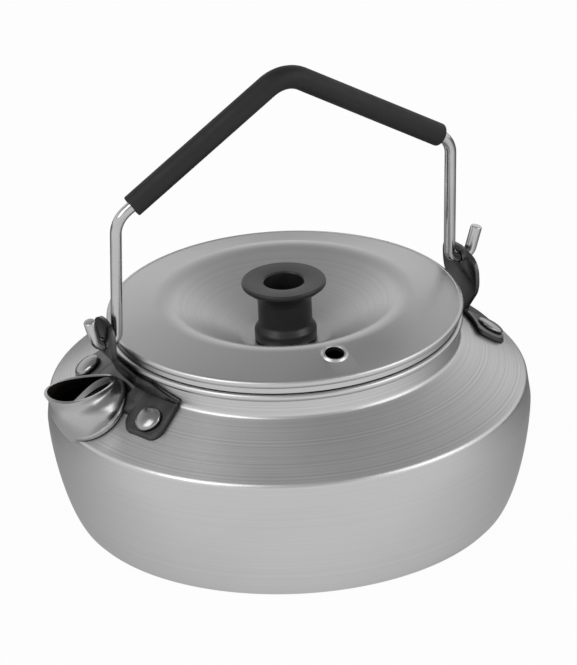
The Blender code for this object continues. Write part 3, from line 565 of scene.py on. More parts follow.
class POT_OT_lid(bpy.types.Operator):
    """Spin the lid, drill its vent and raise the vent's lip"""

    bl_idname = "pot.lid"
    bl_label = "Lid"

    def execute(self, context):
        sizes = context.scene.pot_lid
        piece = lathe("spun_lid", lid_outline(sizes, context.scene.pot_body), ROUND_STEPS)
        slope = math.atan2(sizes.ridge_rise + sizes.rim_step, sizes.ridge_setback - sizes.bead)
        radius = sizes.radius - sizes.ridge_setback + sizes.vent_setback
        height = sizes.rim_top + sizes.ridge_rise - sizes.vent_setback * math.tan(slope)
        place = (Matrix.Rotation(sizes.vent_angle, 4, "Z")
                 @ Matrix.Translation((radius, 0, height))
                 @ Matrix.Rotation(slope, 4, "Y"))
        lip_height, lip_round = 0.55 * MM, 0.3 * MM
        foot_reach, foot_depth, foot_round = 0.4 * MM, 0.12 * MM, 0.5 * MM
        hole, outer = sizes.vent_radius, sizes.vent_radius + sizes.vent_lip
        crest = hole + 0.45 * sizes.vent_lip        # outside of the lip's flat top
        through = 8 * MM
        lip = rounded([(hole, -sizes.sheet / 2), (hole, lip_height),
                       (crest, lip_height), (outer, 0.0),
                       (outer + foot_reach, -foot_depth), (outer, -sizes.sheet / 2)],
                      [0, lip_round, lip_round, foot_round, 0, 0], UNDER_STEPS)
        ring = settle(lathe("vent_lip", lip, SMALL_STEPS), place)
        combine(piece, "UNION", ring)
        drill = start("vent_drill", bpy.ops.mesh.primitive_cylinder_add, vertices=SMALL_STEPS,
                      radius=hole, depth=through)
        combine(piece, "DIFFERENCE", settle(drill, place))
        complete(piece, lid_aluminium(context.scene.pot_colours), "lid", "lid_aluminium", "lid")
        return {"FINISHED"}


class POT_OT_knob(bpy.types.Operator):
    """Turn the hollow knob"""

    bl_idname = "pot.knob"
    bl_label = "Knob"

    def execute(self, context):
        sizes = context.scene.pot_knob
        lid = context.scene.pot_lid
        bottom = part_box("knob")[0].z
        top = bottom + sizes.height
        edge = top - sizes.flange_edge
        mouth = top - sizes.dish
        mouth_round = 0.25 * MM
        outside = rounded(
            [(sizes.bore, mouth - sizes.bore_chamfer), (sizes.bore + sizes.bore_chamfer, mouth),
             (sizes.flange_radius, top), (sizes.flange_radius, edge),
             (sizes.stem_radius, edge - sizes.flare_height),
             (sizes.stem_radius, bottom + sizes.base_height + sizes.base_chamfer),
             (sizes.base_radius, bottom + sizes.base_height), (sizes.base_radius, bottom),
             (lid.hole, bottom), (lid.hole, bottom + sizes.floor),
             (sizes.bore, bottom + sizes.floor)],
            [0, mouth_round, sizes.top_round, sizes.under_round, sizes.flare_round,
             sizes.base_round, sizes.base_round, sizes.foot_round, 0, 0, 0])
        piece = lathe("turned_knob", outside, KNOB_STEPS)
        complete(piece, moulded_phenolic(context.scene.pot_colours), "lid", "knob_plastic", "knob")
        return {"FINISHED"}


class POT_OT_fixing(bpy.types.Operator):
    """Plate the screw, washer and nut that hold the knob"""

    bl_idname = "pot.fixing"
    bl_label = "Knob fixing"

    def execute(self, context):
        finish = zinc_plated_steel(context.scene.pot_colours)
        for name in ("knob_screw", "knob_washer", "knob_nut"):
            for slot in frame["nodes"][name].material_slots:
                slot.material = finish
        return {"FINISHED"}


def bail_matrix(sizes):
    """Where the bail's own plane stands, leaning by friction."""
    joint = next(joint for joint in frame["joints"] if joint["name"] == "bail_swing")
    return Matrix.Translation(joint["pos_m"]) @ Matrix.Rotation(sizes.lean, 4, "X")


class POT_OT_bail(bpy.types.Operator):
    """Bend the bail from one wire"""

    bl_idname = "pot.bail"
    bl_label = "Bail"

    def execute(self, context):
        sizes = context.scene.pot_bail
        end = (sizes.stub + sizes.stub_length * math.sin(sizes.stub_lean),
               sizes.stub_length * math.cos(sizes.stub_lean))
        half = [end, (sizes.stub, 0.0), (sizes.leg, 0.0), (sizes.leg, sizes.corner_height)]
        bends = [0, sizes.hook_bend, sizes.hook_bend, sizes.corner_bend]
        corners = half + [(0.0, sizes.apex_height)] + [(-x, z) for x, z in reversed(half)]
        piece = bend_tube("bent_bail", sizes.wire, corners,
                          bends + [sizes.apex_bend] + bends[::-1])
        cap_ends(piece)
        round_ends(piece, sizes.end_round)
        settle(piece, bail_matrix(sizes))
        complete(piece, drawn_wire(context.scene.pot_colours), "bail", "bail_steel", "bail")
        return {"FINISHED"}


class POT_OT_sleeve(bpy.types.Operator):
    """Pull the grip sleeve over the bail's gable"""

    bl_idname = "pot.sleeve"
    bl_label = "Grip sleeve"

    def execute(self, context):
        sizes = context.scene.pot_bail
        run = Vector((-sizes.leg, sizes.apex_height - sizes.corner_height)).normalized()
        corner = Vector((sizes.leg, sizes.corner_height))
        rear = corner + run * (sizes.sleeve_setback - sizes.sleeve_slide)
        front = corner + run * (sizes.sleeve_setback + sizes.sleeve_slide)
        piece = bend_tube("grip_tube", sizes.sleeve,
                          [rear, (0.0, sizes.apex_height), (-front.x, front.y)],
                          [0, sizes.apex_bend, 0], SLEEVE_BEND_STEPS)
        modify(piece, "SOLIDIFY", thickness=sizes.sleeve_wall, offset=-1, use_even_offset=True)
        round_ends(piece, sizes.end_round)
        settle(piece, bail_matrix(sizes))
        complete(piece, soft_rubber(context.scene.pot_colours), "bail", "grip_rubber",
                 "grip_sleeve")
        return {"FINISHED"}


def softened_copy(node, name, width):
    """A copy of a packed sheet-metal node with its cut edges rounded."""
    piece = frame["nodes"][node].copy()
    piece.data = piece.data.copy()
    piece.name = name
    piece.data.name = name
    piece.parent = None
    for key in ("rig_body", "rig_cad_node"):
        del piece[key]
    bpy.context.scene.collection.objects.link(piece)
    flat, cut_edge = math.radians(2), math.radians(40)
    with editing(piece):
        bpy.ops.mesh.remove_doubles(threshold=WELD)
        bpy.ops.mesh.dissolve_limited(angle_limit=flat)
    modify(piece, "BEVEL", width=width, segments=3, limit_method="ANGLE", angle_limit=cut_edge,
           use_clamp_overlap=True)
    return piece


class POT_OT_lugs(bpy.types.Operator):
    """Finish both bent lugs, with their cut edges rounded"""

    bl_idname = "pot.lugs"
    bl_label = "Lugs"

    def execute(self, context):
        width = context.scene.pot_lug.edge_round
        # This finish's grey is partly painted shade, on the lugs and on the web between the spout
        # and the neck.
        finish = tumbled_steel_and_shade(context.scene.pot_colours)
        for node in ("front_lug", "rear_lug"):
            piece = softened_copy(node, "bent_" + node, width)
            if node == "front_lug":
                combine(piece, "UNION", self.web(context.scene))
            complete(piece, finish, "pot", "lug_steel", node)
        return {"FINISHED"}

    def web(self, scene):
        """The front lug's sheet between its two flanges, cut out round the spout's foot."""
        sizes, body, spout = scene.pot_lug, scene.pot_body, scene.pot_spout
        slant = math.cos(shoulder_angle(body))
        inset = 0.03 * MM           # so that no two faces coincide
        low, high = (sizes.gap + inset) / slant, (sizes.gap + sizes.sheet - inset) / slant
        inner, outer = body.neck_radius + sizes.band_gap, body.neck_radius + sizes.web_reach
        outline = [(inner, shoulder_z(body, inner) + high), (outer, shoulder_z(body, outer) + high),
                   (outer, shoulder_z(body, outer) + low), (inner, shoulder_z(body, inner) + low)]
        piece = lathe("lug_web", outline, ROUND_STEPS)
        half = sizes.web_half_width
        block = start("web_block", bpy.ops.mesh.primitive_cube_add, size=1.0,
                      location=(-outer, 0, outline[0][1]), scale=(outer, 2 * half, outer))
        combine(piece, "INTERSECT", settle(block))
        margin = spout.bead + sizes.band_gap
        middle = -(spout.foot_rear + spout.foot_front) / 2
        half_length = (spout.foot_front - spout.foot_rear) / 2 + margin
        cutout = start("web_cutout", bpy.ops.mesh.primitive_cylinder_add,
                       vertices=2 * SMALL_STEPS, radius=1.0, depth=outer,
                       location=(middle, 0, outline[0][1]),
                       scale=(half_length, spout.foot_half_width + margin, 1.0))
        combine(piece, "DIFFERENCE", settle(cutout))
        return piece


class POT_OT_rivets(bpy.types.Operator):
    """Turn the four rivets and set them square to the shoulder"""

    bl_idname = "pot.rivets"
    bl_label = "Rivets"

    def execute(self, context):
        sizes = context.scene.pot_lug
        body = context.scene.pot_body
        finish = bright_rivet(context.scene.pot_colours)
        front = (sizes.front_rivet_radius, sizes.front_dome)
        rear = (sizes.rear_rivet_radius, sizes.rear_dome)
        places = {"front_rivet_left": (*front, math.pi + sizes.front_rivet_angle),
                  "front_rivet_right": (*front, math.pi - sizes.front_rivet_angle),
                  "rear_rivet_left": (*rear, sizes.rear_rivet_angle),
                  "rear_rivet_right": (*rear, -sizes.rear_rivet_angle)}
        for node, (radius, dome, turn) in places.items():
            piece = lathe("set_" + node, self.outline(sizes, body.wall, dome), SMALL_STEPS)
            settle(piece, Matrix.Rotation(turn, 4, "Z")
                   @ Matrix.Translation((radius, 0, shoulder_z(body, radius)))
                   @ Matrix.Rotation(shoulder_angle(body), 4, "Y"))
            complete(piece, finish, "pot", "rivet_metal", node)
        return {"FINISHED"}

    def outline(self, sizes, wall, dome):
        """Section of a rivet from the top of its dome to the middle of its tail."""
        seat = sizes.gap * 2 + sizes.sheet
        tail = -wall - sizes.gap
        edge = dome / 4
        head_round, tail_round, end_round = 0.1 * MM, 0.2 * MM, 0.3 * MM
        turns = [step / DOME_STEPS * math.pi / 2 for step in range(DOME_STEPS + 1)]
        head = [(sizes.rivet_radius * math.sin(turn), seat + edge + (dome - edge) * math.cos(turn))
                for turn in turns]
        shaft = rounded([head[-1], (sizes.rivet_radius, seat), (sizes.shank, seat),
                         (sizes.shank, tail), (sizes.tail_radius, tail),
                         (sizes.tail_radius, tail - sizes.tail), (0.0, tail - sizes.tail)],
                        [0, head_round, 0, 0, tail_round, end_round, 0])
        return head + shaft[1:]


def oval(body, rear, front, half_width, lift):
    """A loop over the shoulder, an ellipse in plan, at a lift above the sheet."""
    middle, half_length = -(rear + front) / 2, (front - rear) / 2
    loop = []
    for step in range(SPOUT_STEPS):
        turn = FULL_TURN * step / SPOUT_STEPS
        x, y = middle + half_length * math.cos(turn), half_width * math.sin(turn)
        loop.append(Vector((x, y, over_shoulder_z(body, math.hypot(x, y), lift))))
    return loop


def mouth(sizes):
    """The mouth's edge: blunt at the tip, narrow towards the pot and a little higher there."""
    taper = 0.38                # how much narrower the mouth gets towards the pot
    middle = -(sizes.mouth_rear + sizes.tip) / 2
    half_length = (sizes.tip - sizes.mouth_rear) / 2
    loop = []
    for step in range(SPOUT_STEPS):
        turn = FULL_TURN * step / SPOUT_STEPS
        width = sizes.mouth_half_width * (1 - taper * math.cos(turn))
        height = sizes.tip_height + sizes.mouth_rise * (1 + math.cos(turn)) / 2
        loop.append(Vector((middle + half_length * math.cos(turn), width * math.sin(turn), height)))
    return loop


def between(foot, top, share, swell):
    """A loop between two loops, pushed out by a swell."""
    centre = sum(foot, Vector()) / len(foot)
    loop = []
    for low, high in zip(foot, top):
        place = low.lerp(high, share)
        out = Vector((place.x - centre.x, place.y, 0)).normalized()
        loop.append(place + out * swell)
    return loop


class POT_OT_spout(bpy.types.Operator):
    """Press the spout cup, its collar, the bead round its foot and the strip in its mouth"""

    bl_idname = "pot.spout"
    bl_label = "Spout"

    def execute(self, context):
        sizes, body = context.scene.pot_spout, context.scene.pot_body
        gap = context.scene.pot_lug.gap
        foot = self.foot(sizes, body, gap + sizes.sheet / 2)
        top = mouth(sizes)
        piece = self.cup(sizes, body, foot, top, gap)
        piece.data.materials.append(pressed_aluminium(context.scene.pot_colours))
        # The second material is painted shade; Solidify gives it to the inner faces, for the dark
        # inside the bore.
        piece.data.materials.append(bore_shade_aluminium(context.scene.pot_colours))
        modify(piece, "SOLIDIFY", thickness=sizes.sheet, offset=0, use_even_offset=True,
               material_offset=1)
        modify(piece, "BEVEL", width=sizes.rim_round, segments=3, limit_method="ANGLE",
               angle_limit=END_ANGLE)
        bead = self.bead(sizes, self.foot(sizes, body, gap + sizes.bead))
        combine(bead, "DIFFERENCE", self.seat(body, gap))
        combine(piece, "UNION", bead)
        combine(piece, "UNION", self.strip(sizes, top, *piece.data.materials))
        complete(piece, None, "pot", "spout_aluminium", "spout")
        return {"FINISHED"}

    def foot(self, sizes, body, lift):
        """The loop of the cup's foot, at a lift above the shoulder."""
        return oval(body, sizes.foot_rear, sizes.foot_front, sizes.foot_half_width, lift)

    def cup(self, sizes, body, foot, top, gap):
        """The open surface from the collar below the shoulder, over the web, up to the mouth."""
        levels = 16
        belly_end, belly_fullness = 0.8, 1.2        # share of the height, and 1 is a sine
        waist_start = 0.6
        flare_low, flare_high = 0.15 * MM, 0.6 * MM     # of the collar into the web
        web = gap + sizes.sheet / 2

        def collar(widen, lift):
            return oval(body, sizes.collar_rear - widen, sizes.collar_front + widen,
                        sizes.collar_half_width + widen, lift)

        rings = [collar(0.0, -body.wall - sizes.collar_depth), collar(0.0, 0.0),
                 collar(flare_low, web / 2), collar(flare_high, web), foot]
        for level in range(1, levels):
            share = level / levels
            bulge = math.sin(math.pi * min(share / belly_end, 1.0)) ** belly_fullness
            pull = math.sin(math.pi * max(share - waist_start, 0.0) / (1 - waist_start))
            swell = sizes.belly * bulge - sizes.waist * pull
            rings.append(between(foot, top, share, swell))
        rings.append(top)
        return face_outwards(loft("pressed_spout", rings))

    def bead(self, sizes, loop):
        """The rolled bead round the cup's foot."""
        sides = 20
        turns = [FULL_TURN * side / sides for side in range(sides)]
        rings = []
        for before, here, after in zip(loop[-1:] + loop, loop, loop[1:] + loop[:1]):
            along = (after - before).normalized()
            out = along.cross(Vector((0, 0, 1))).normalized()
            up = out.cross(along)
            rings.append([here + (out * math.cos(turn) + up * math.sin(turn)) * sizes.bead
                          for turn in turns])
        return face_outwards(loft("spout_bead", rings + rings[:1]))

    def strip(self, sizes, top, outside, inside):
        """A strip along the near wall's top, joined at both ends, with a lens-shaped slit."""
        first, last = -44, -4       # steps of the mouth's loop that the strip spans
        slit_first, slit_last = -37, -15
        slit_fullness = 0.7         # 1 is a lens, less is blunter at its ends
        below_rim = 0.08 * MM       # so that no two faces coincide
        inward = Vector((0, 1, 0))
        outer, inner = [], []
        for step in range(first, last + 1):
            edge = top[step] - Vector((0, 0, below_rim))
            gap = 0.0
            if slit_first <= step <= slit_last:
                share = (step - slit_first) / (slit_last - slit_first)
                gap = sizes.sheet / 2 + sizes.slit * math.sin(math.pi * share) ** slit_fullness
            swing = math.sin(math.pi * (step - first) / (last - first))
            reach = inward * (sizes.sheet / 3 + sizes.strip_reach * swing)
            outer.append(edge + inward * gap)
            inner.append(edge + reach + Vector((0, 0, sizes.strip_rise * swing)))
        drop = Vector((0, 0, -sizes.strip_sheet))
        rings = [[a, b, b + drop, a + drop] for a, b in zip(outer, inner)]
        piece = face_outwards(loft("mouth_strip", rings, capped=True))
        piece.data.materials.append(outside)
        piece.data.materials.append(inside)
        # Faces that do not face up, under the strip and along the slit, take the painted shade of
        # the bore.
        for polygon in piece.data.polygons:
            polygon.material_index = 0 if polygon.normal.z > 0.5 else 1
        return piece

    def seat(self, body, gap):
        """The body's outside, larger by a small gap, which trims the bead's underside."""
        edge = body.radius - body.edge_inset
        outline = rounded([(0.0, shoulder_z(body, 0) + gap), (edge, shoulder_z(body, edge) + gap),
                           (body.radius + gap, body.widest_height)], [0, body.edge_round, 0])
        return lathe("spout_seat", outline + [(0.0, body.widest_height)], ROUND_STEPS, closed=False)


def add_node(tree, kind, inputs=None, **settings):
    """Add a node, set its settings, and set or link its inputs."""
    made = tree.nodes.new(kind)
    for key, value in settings.items():
        setattr(made, key, value)
    for key, value in (inputs or {}).items():
        if isinstance(value, bpy.types.NodeSocket):
            tree.links.new(value, made.inputs[key])
        else:
            made.inputs[key].default_value = value
    return made


def new_tree(name):
    """A material with an empty node tree."""
    made = bpy.data.materials.new(name)
    made.use_nodes = True
    made.node_tree.nodes.clear()
    return made, made.node_tree


def shade(colour, factor):
    """A colour made lighter or darker, with its alpha."""
    return (*[min(channel * factor, 1.0) for channel in colour], 1.0)


def tint(tree, source, colour, low, high):
    """Vary a colour's lightness with a noise value."""
    made = add_node(tree, "ShaderNodeValToRGB", {"Fac": source})
    stops = zip(made.color_ramp.elements, (NOISE_LOW, NOISE_HIGH), (low, high))
    for stop, position, factor in stops:
        stop.position = position
        stop.color = shade(colour, factor)
    return made.outputs["Color"]


def spinning_run(tree, place):
    """Distance along a spun sheet's section, out over its top and down its side, and height."""
    parts = add_node(tree, "ShaderNodeSeparateXYZ", {"Vector": place}).outputs
    flat = add_node(tree, "ShaderNodeCombineXYZ", {"X": parts["X"], "Y": parts["Y"]})
    radius = add_node(tree, "ShaderNodeVectorMath", {0: flat.outputs["Vector"]},
                      operation="LENGTH").outputs["Value"]
    return add_node(tree, "ShaderNodeMath", {0: radius, 1: parts["Z"]},
                    operation="SUBTRACT").outputs["Value"], parts["Z"]


def principled(tree, **inputs):
    """A Principled shader and the output; names have underscores for spaces."""
    named = {key.replace("_", " "): value for key, value in inputs.items()}
    shader = add_node(tree, "ShaderNodeBsdfPrincipled", named)
    add_node(tree, "ShaderNodeOutputMaterial", {"Surface": shader.outputs["BSDF"]})


def spun_sheet(name, colour, smooth_below, roughness, spacing, depth, contrast, anisotropy):
    """Satin spun sheet: fine rings from the tool, polished away below a height."""
    edge_tint = 0.82            # how light the sheet stays at a grazing view
    polished = 0.2              # what is left of the rings where they are polished away
    clouds = 45.0               # to a metre, so each is about 22 mm wide
    swing = 0.03                # of the roughness from cloud to cloud
    made, tree = new_tree(name)
    place = add_node(tree, "ShaderNodeTexCoord").outputs["Object"]
    run, height = spinning_run(tree, place)
    above = add_node(tree, "ShaderNodeMapRange",
                     {"Value": height, "From Min": smooth_below - MM, "From Max": smooth_below + MM,
                      "To Min": polished, "To Max": 1.0}).outputs["Result"]
    marks = add_node(tree, "ShaderNodeTexNoise",
                     {"W": run, "Scale": 1 / spacing, "Detail": 3.0, "Roughness": 0.7},
                     noise_dimensions="1D").outputs["Fac"]
    even = add_node(tree, "ShaderNodeMath", {0: marks, 1: 0.5},
                    operation="SUBTRACT").outputs["Value"]
    rings = add_node(tree, "ShaderNodeMath", {0: even, 1: above},
                     operation="MULTIPLY").outputs["Value"]
    cloud = add_node(tree, "ShaderNodeTexNoise",
                     {"Vector": place, "Scale": clouds, "Detail": 3.0, "Roughness": 0.6})
    uneven = add_node(tree, "ShaderNodeMapRange",
                      {"Value": cloud.outputs["Fac"], "From Min": NOISE_LOW,
                       "From Max": NOISE_HIGH, "To Min": roughness - swing,
                       "To Max": roughness + swing})
    mean = add_node(tree, "ShaderNodeMath", {0: rings, 1: 0.5}, operation="ADD")
    bump = add_node(tree, "ShaderNodeBump",
                    {"Height": rings, "Strength": 1.0, "Distance": depth})
    around = add_node(tree, "ShaderNodeTangent", direction_type="RADIAL", axis="Z")
    principled(tree, Metallic=1.0, Anisotropic=anisotropy, Tangent=around.outputs["Tangent"],
               Specular_Tint=(edge_tint, edge_tint, edge_tint, 1.0),
               Base_Color=tint(tree, mean.outputs["Value"], colour, 1 - contrast, 1 + contrast),
               Roughness=uneven.outputs["Result"], Normal=bump.outputs["Normal"])
    return made


def spun_aluminium(colours):
    """Spun aluminium, satin: soft grey with rings from the tool on the shoulder."""
    edge_height = 38 * MM
    shoulder_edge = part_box("body_shell")[0].z + edge_height
    return spun_sheet("spun_aluminium", colours.aluminium, shoulder_edge, roughness=0.34,
                      spacing=0.8 * MM, depth=0.016 * MM, contrast=0.14, anisotropy=0.4)


def lid_aluminium(colours):
    """Spun aluminium of the lid: finer rings, so it looks smoother."""
    return spun_sheet("lid_aluminium", colours.aluminium, 0.0, roughness=0.36,
                      spacing=0.3 * MM, depth=0.004 * MM, contrast=0.04, anisotropy=0.5)


def grained(name, colour, roughness, grain, depth, detail, patch, low, high, **shader):
    """A finish with a fine grain and broad patches, each patch a number of grains wide.

    The real grain is finer, and is drawn as coarse as it needs to show.
    """
    swing = 0.05                # of the roughness from patch to patch
    made, tree = new_tree(name)
    place = add_node(tree, "ShaderNodeTexCoord").outputs["Object"]
    fine = add_node(tree, "ShaderNodeTexNoise",
                    {"Vector": place, "Scale": 1 / grain, "Detail": detail, "Roughness": 0.6})
    cloud = add_node(tree, "ShaderNodeTexNoise",
                     {"Vector": place, "Scale": 1 / (patch * grain), "Detail": 2.0,
                      "Roughness": 0.5}).outputs["Fac"]
    uneven = add_node(tree, "ShaderNodeMapRange",
                      {"Value": cloud, "From Min": NOISE_LOW, "From Max": NOISE_HIGH,
                       "To Min": roughness - swing, "To Max": roughness + swing})
    bump = add_node(tree, "ShaderNodeBump",
                    {"Height": fine.outputs["Fac"], "Strength": 1.0, "Distance": depth})
    principled(tree, Normal=bump.outputs["Normal"],
               Base_Color=tint(tree, cloud, colour, low, high),
               Roughness=uneven.outputs["Result"], **shader)
    return made


def plain_metal(name, colour, roughness, grain, depth, contrast):
    """Metal with a fine mottled surface, from tumbling, pressing or plating."""
    return grained(name, colour, roughness, grain, depth, detail=4.0, patch=14,
                   low=1 - contrast, high=1 + contrast, Metallic=1.0)


def pressed_aluminium(colours):
    """Pressed aluminium: smoother and brighter than the spun sheet, with no rings."""
    return plain_metal("pressed_aluminium", colours.spout, roughness=0.26,
                       grain=0.5 * MM, depth=0.004 * MM, contrast=0.05)


def bore_shade_aluminium(colours):
    """Aluminium inside the spout, painted dark for the shade in its hollow bore."""
    return plain_metal("bore_shade_aluminium", colours.stained, roughness=0.5,
                       grain=0.5 * MM, depth=0.006 * MM, contrast=0.2)


def tumbled_steel_and_shade(colours):
    """Tumbled stainless sheet: grey darkened partly with painted shade, with worn soft spots."""
    return plain_metal("tumbled_steel_and_shade", colours.lug, roughness=0.3,
                       grain=0.4 * MM, depth=0.006 * MM, contrast=0.16)


def bright_rivet(colours):
    """Cold-headed aluminium rivet: bright and a little dented."""
    return plain_metal("bright_rivet", colours.rivet, roughness=0.2,
                       grain=0.8 * MM, depth=0.01 * MM, contrast=0.05)


def drawn_wire(colours):
    """Drawn stainless wire: bright, with faint die lines."""
    return plain_metal("drawn_wire", colours.wire, roughness=0.2,
                       grain=0.5 * MM, depth=0.003 * MM, contrast=0.06)


def zinc_plated_steel(colours):
    """Zinc-plated steel: cool grey with a slight sparkle."""
    return plain_metal("zinc_plated_steel", colours.zinc, roughness=0.3,
                       grain=0.3 * MM, depth=0.003 * MM, contrast=0.08)


def black_polymer(name, colour, roughness, grain, depth):
    """Black rubber or plastic whose fine grain breaks up the gloss."""
    return grained(name, colour, roughness, grain, depth, detail=3.0, patch=25, low=0.85,
                   high=1.2, Metallic=0.0, IOR=1.5)


def soft_rubber(colours):
    """Extruded soft rubber: matt black with a dull sheen."""
    return black_polymer("soft_rubber", colours.rubber, roughness=0.6,
                         grain=0.25 * MM, depth=0.012 * MM)


def moulded_phenolic(colours):
    """Moulded phenolic plastic: black with a satin gloss."""
    return black_polymer("moulded_phenolic", colours.plastic, roughness=0.34,
                         grain=0.3 * MM, depth=0.006 * MM)


def white_floor(away):
    """Matt white floor: white to the camera, and a light that fades backwards in the metal."""
    glow = 0.95                 # share of even light in what shows, the rest is paint
    front, back = -80 * MM, 90 * MM
    front_light, back_light = 0.88, 0.12
    made, tree = new_tree("white_floor")
    path = add_node(tree, "ShaderNodeLightPath").outputs
    shows = add_node(tree, "ShaderNodeMath",
                     {0: path["Is Camera Ray"], 1: path["Is Glossy Ray"]}, operation="MAXIMUM")
    share = add_node(tree, "ShaderNodeMath", {0: shows.outputs["Value"], 1: glow},
                     operation="MULTIPLY")
    place = add_node(tree, "ShaderNodeTexCoord").outputs["Object"]
    depth = add_node(tree, "ShaderNodeVectorMath", {0: place, 1: away},
                     operation="DOT_PRODUCT").outputs["Value"]
    fade = add_node(tree, "ShaderNodeMapRange",
                    {"Value": depth, "From Min": front, "From Max": back,
                     "To Min": front_light, "To Max": back_light}).outputs["Result"]
    level = add_node(tree, "ShaderNodeMath", {0: fade, 1: path["Is Camera Ray"]},
                     operation="MAXIMUM")
    paint = add_node(tree, "ShaderNodeBsdfDiffuse", {"Color": (0.9, 0.9, 0.9, 1.0)})
    white = add_node(tree, "ShaderNodeEmission",
                     {"Color": (1, 1, 1, 1), "Strength": level.outputs["Value"]})
    mixed = add_node(tree, "ShaderNodeMixShader",
                     {0: share.outputs["Value"], 1: paint.outputs["BSDF"],
                      2: white.outputs["Emission"]})
    add_node(tree, "ShaderNodeOutputMaterial", {"Surface": mixed.outputs["Shader"]})
    return made


def studio_world(horizon, overhead):
    """A pale studio, a little darker overhead, that shows white to the camera."""
    low, high = 0.3, 0.8        # sines of the heights between which the light falls
    world = bpy.data.worlds.new("studio")
    bpy.context.scene.world = world
    world.use_nodes = True
    tree = world.node_tree
    tree.nodes.clear()
    path = add_node(tree, "ShaderNodeLightPath").outputs
    way = add_node(tree, "ShaderNodeTexCoord").outputs["Generated"]
    height = add_node(tree, "ShaderNodeSeparateXYZ", {"Vector": way}).outputs["Z"]
    level = add_node(tree, "ShaderNodeMapRange",
                     {"Value": height, "From Min": low, "From Max": high, "To Min": horizon,
                      "To Max": overhead}).outputs["Result"]
    room = add_node(tree, "ShaderNodeBackground", {"Color": (1, 1, 1, 1), "Strength": level})
    white = add_node(tree, "ShaderNodeBackground", {"Color": (1, 1, 1, 1), "Strength": 1.0})
    mixed = add_node(tree, "ShaderNodeMixShader",
                     {0: path["Is Camera Ray"], 1: room.outputs["Background"],
                      2: white.outputs["Background"]})
    add_node(tree, "ShaderNodeOutputWorld", {"Surface": mixed.outputs["Shader"]})


class PotStage(bpy.types.PropertyGroup):
    """The studio and the photograph's view."""

    distance: length("From the camera to its target", 2600.0)
    target_side: length("Of the target to the right of the pot's axis", 0.72)
    target_height: length("Above the base", 53.15)
    elevation: angle("Of the camera above the horizontal", 25.52)
    azimuth: angle("Of the camera round the pot, towards the spout", 25.3)
    roll: angle("Of the camera about its view", -2.53)
    lens: number("Focal length in millimetres", 561.9)
    sensor: number("Width of the camera's sensor in millimetres", 36.0)
    horizon: number("Of the studio's light near the horizon", 0.92)
    overhead: number("Of the studio's light overhead", 0.34)
    key_power: number("Of the key lamp, in watts", 4.6)
    fill_power: number("Of the fill lamp, in watts", 2.7)


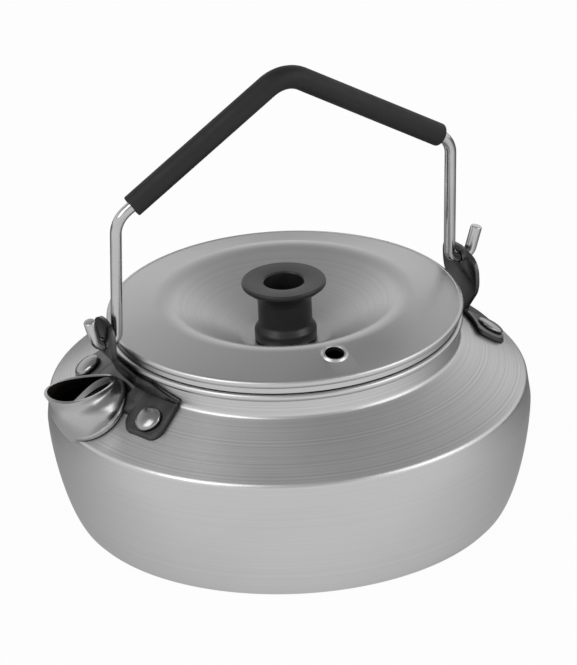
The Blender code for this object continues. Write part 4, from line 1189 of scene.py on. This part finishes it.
class POT_OT_stage(bpy.types.Operator):
    """Set the floor, the soft lamps and the camera"""

    bl_idname = "pot.stage"
    bl_label = "Stage"

    def execute(self, context):
        stage = context.scene.pot_stage
        floor_size, below = 8.0, 0.1 * MM
        floor = start("floor", bpy.ops.mesh.primitive_plane_add, size=floor_size)
        settle(floor, Matrix.Translation((0, 0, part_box("body_shell")[0].z - below)))
        view = Matrix.Rotation(-stage.azimuth, 4, "Z")
        floor.data.materials.append(white_floor(view @ Vector((0, 1, 0))))
        studio_world(stage.horizon, stage.overhead)
        # Each lamp's name, place as the camera sees the pot, width and power
        lamps = (("key_lamp", (-0.75, -0.55, 1.0), 0.8, stage.key_power),
                 ("fill_lamp", (1.0, -0.35, 0.7), 0.7, stage.fill_power))
        for name, place, size, power in lamps:
            bpy.ops.object.select_all(action="DESELECT")
            bpy.ops.object.light_add(type="AREA", location=view @ Vector(place))
            lamp = bpy.context.object
            lamp.name = name
            lamp.data.shape = "SQUARE"
            lamp.data.size = size
            lamp.data.energy = power
            aim = Vector((0, 0, stage.target_height)) - lamp.location
            lamp.rotation_euler = aim.to_track_quat("-Z", "Y").to_euler()
        bpy.ops.object.select_all(action="DESELECT")
        bpy.ops.object.camera_add()
        camera = bpy.context.object
        camera.name = "photograph_camera"
        camera.matrix_world = (
            view @ Matrix.Translation((stage.target_side, 0, stage.target_height))
            @ Matrix.Rotation(math.pi / 2 - stage.elevation, 4, "X")
            @ Matrix.Translation((0, 0, stage.distance)) @ Matrix.Rotation(stage.roll, 4, "Z"))
        camera.data.sensor_fit = "HORIZONTAL"
        camera.data.sensor_width = stage.sensor
        camera.data.lens = stage.lens
        context.scene.camera = camera
        context.scene.view_settings.view_transform = "Standard"
        return {"FINISHED"}


class POT_PT_panel(bpy.types.Panel):
    """Lists the pot's pieces, their sizes and their colours."""

    bl_idname = "POT_PT_panel"
    bl_label = "Coffee Pot"
    bl_space_type = "VIEW_3D"
    bl_region_type = "UI"
    bl_category = "Coffee Pot"

    def draw(self, context):
        column = self.layout.column(align=True)
        for operator in OPERATORS:
            column.operator(operator.bl_idname)
        for name, group in GROUPS.items():
            box = self.layout.box()
            box.label(text=group.__doc__)
            for key in group.__annotations__:
                box.prop(getattr(context.scene, name), key)


GROUPS = {"pot_body": PotBodySizes, "pot_lid": PotLidSizes, "pot_knob": PotKnobSizes,
          "pot_bail": PotBailSizes, "pot_lug": PotLugSizes, "pot_spout": PotSpoutSizes,
          "pot_colours": PotColours, "pot_stage": PotStage}
OPERATORS = (POT_OT_body, POT_OT_spout, POT_OT_lugs, POT_OT_rivets, POT_OT_lid, POT_OT_knob,
             POT_OT_fixing, POT_OT_bail, POT_OT_sleeve, POT_OT_stage)


def register():
    for name, group in GROUPS.items():
        for key, entry in group.__annotations__.items():
            entry.keywords["name"] = key.replace("_", " ").capitalize()
        bpy.utils.register_class(group)
        setattr(bpy.types.Scene, name, bpy.props.PointerProperty(type=group))
    for entry in (*OPERATORS, POT_PT_panel):
        bpy.utils.register_class(entry)


def unregister():
    for entry in (POT_PT_panel, *reversed(OPERATORS)):
        bpy.utils.unregister_class(entry)
    for name, group in reversed(GROUPS.items()):
        delattr(bpy.types.Scene, name)
        bpy.utils.unregister_class(group)


def main():
    register()
    bpy.ops.pot.body()
    bpy.ops.pot.spout()
    bpy.ops.pot.lugs()
    bpy.ops.pot.rivets()
    bpy.ops.pot.lid()
    bpy.ops.pot.knob()
    bpy.ops.pot.fixing()
    bpy.ops.pot.bail()
    bpy.ops.pot.sleeve()
    bpy.ops.pot.stage()


if __name__ == "__main__":
    main()
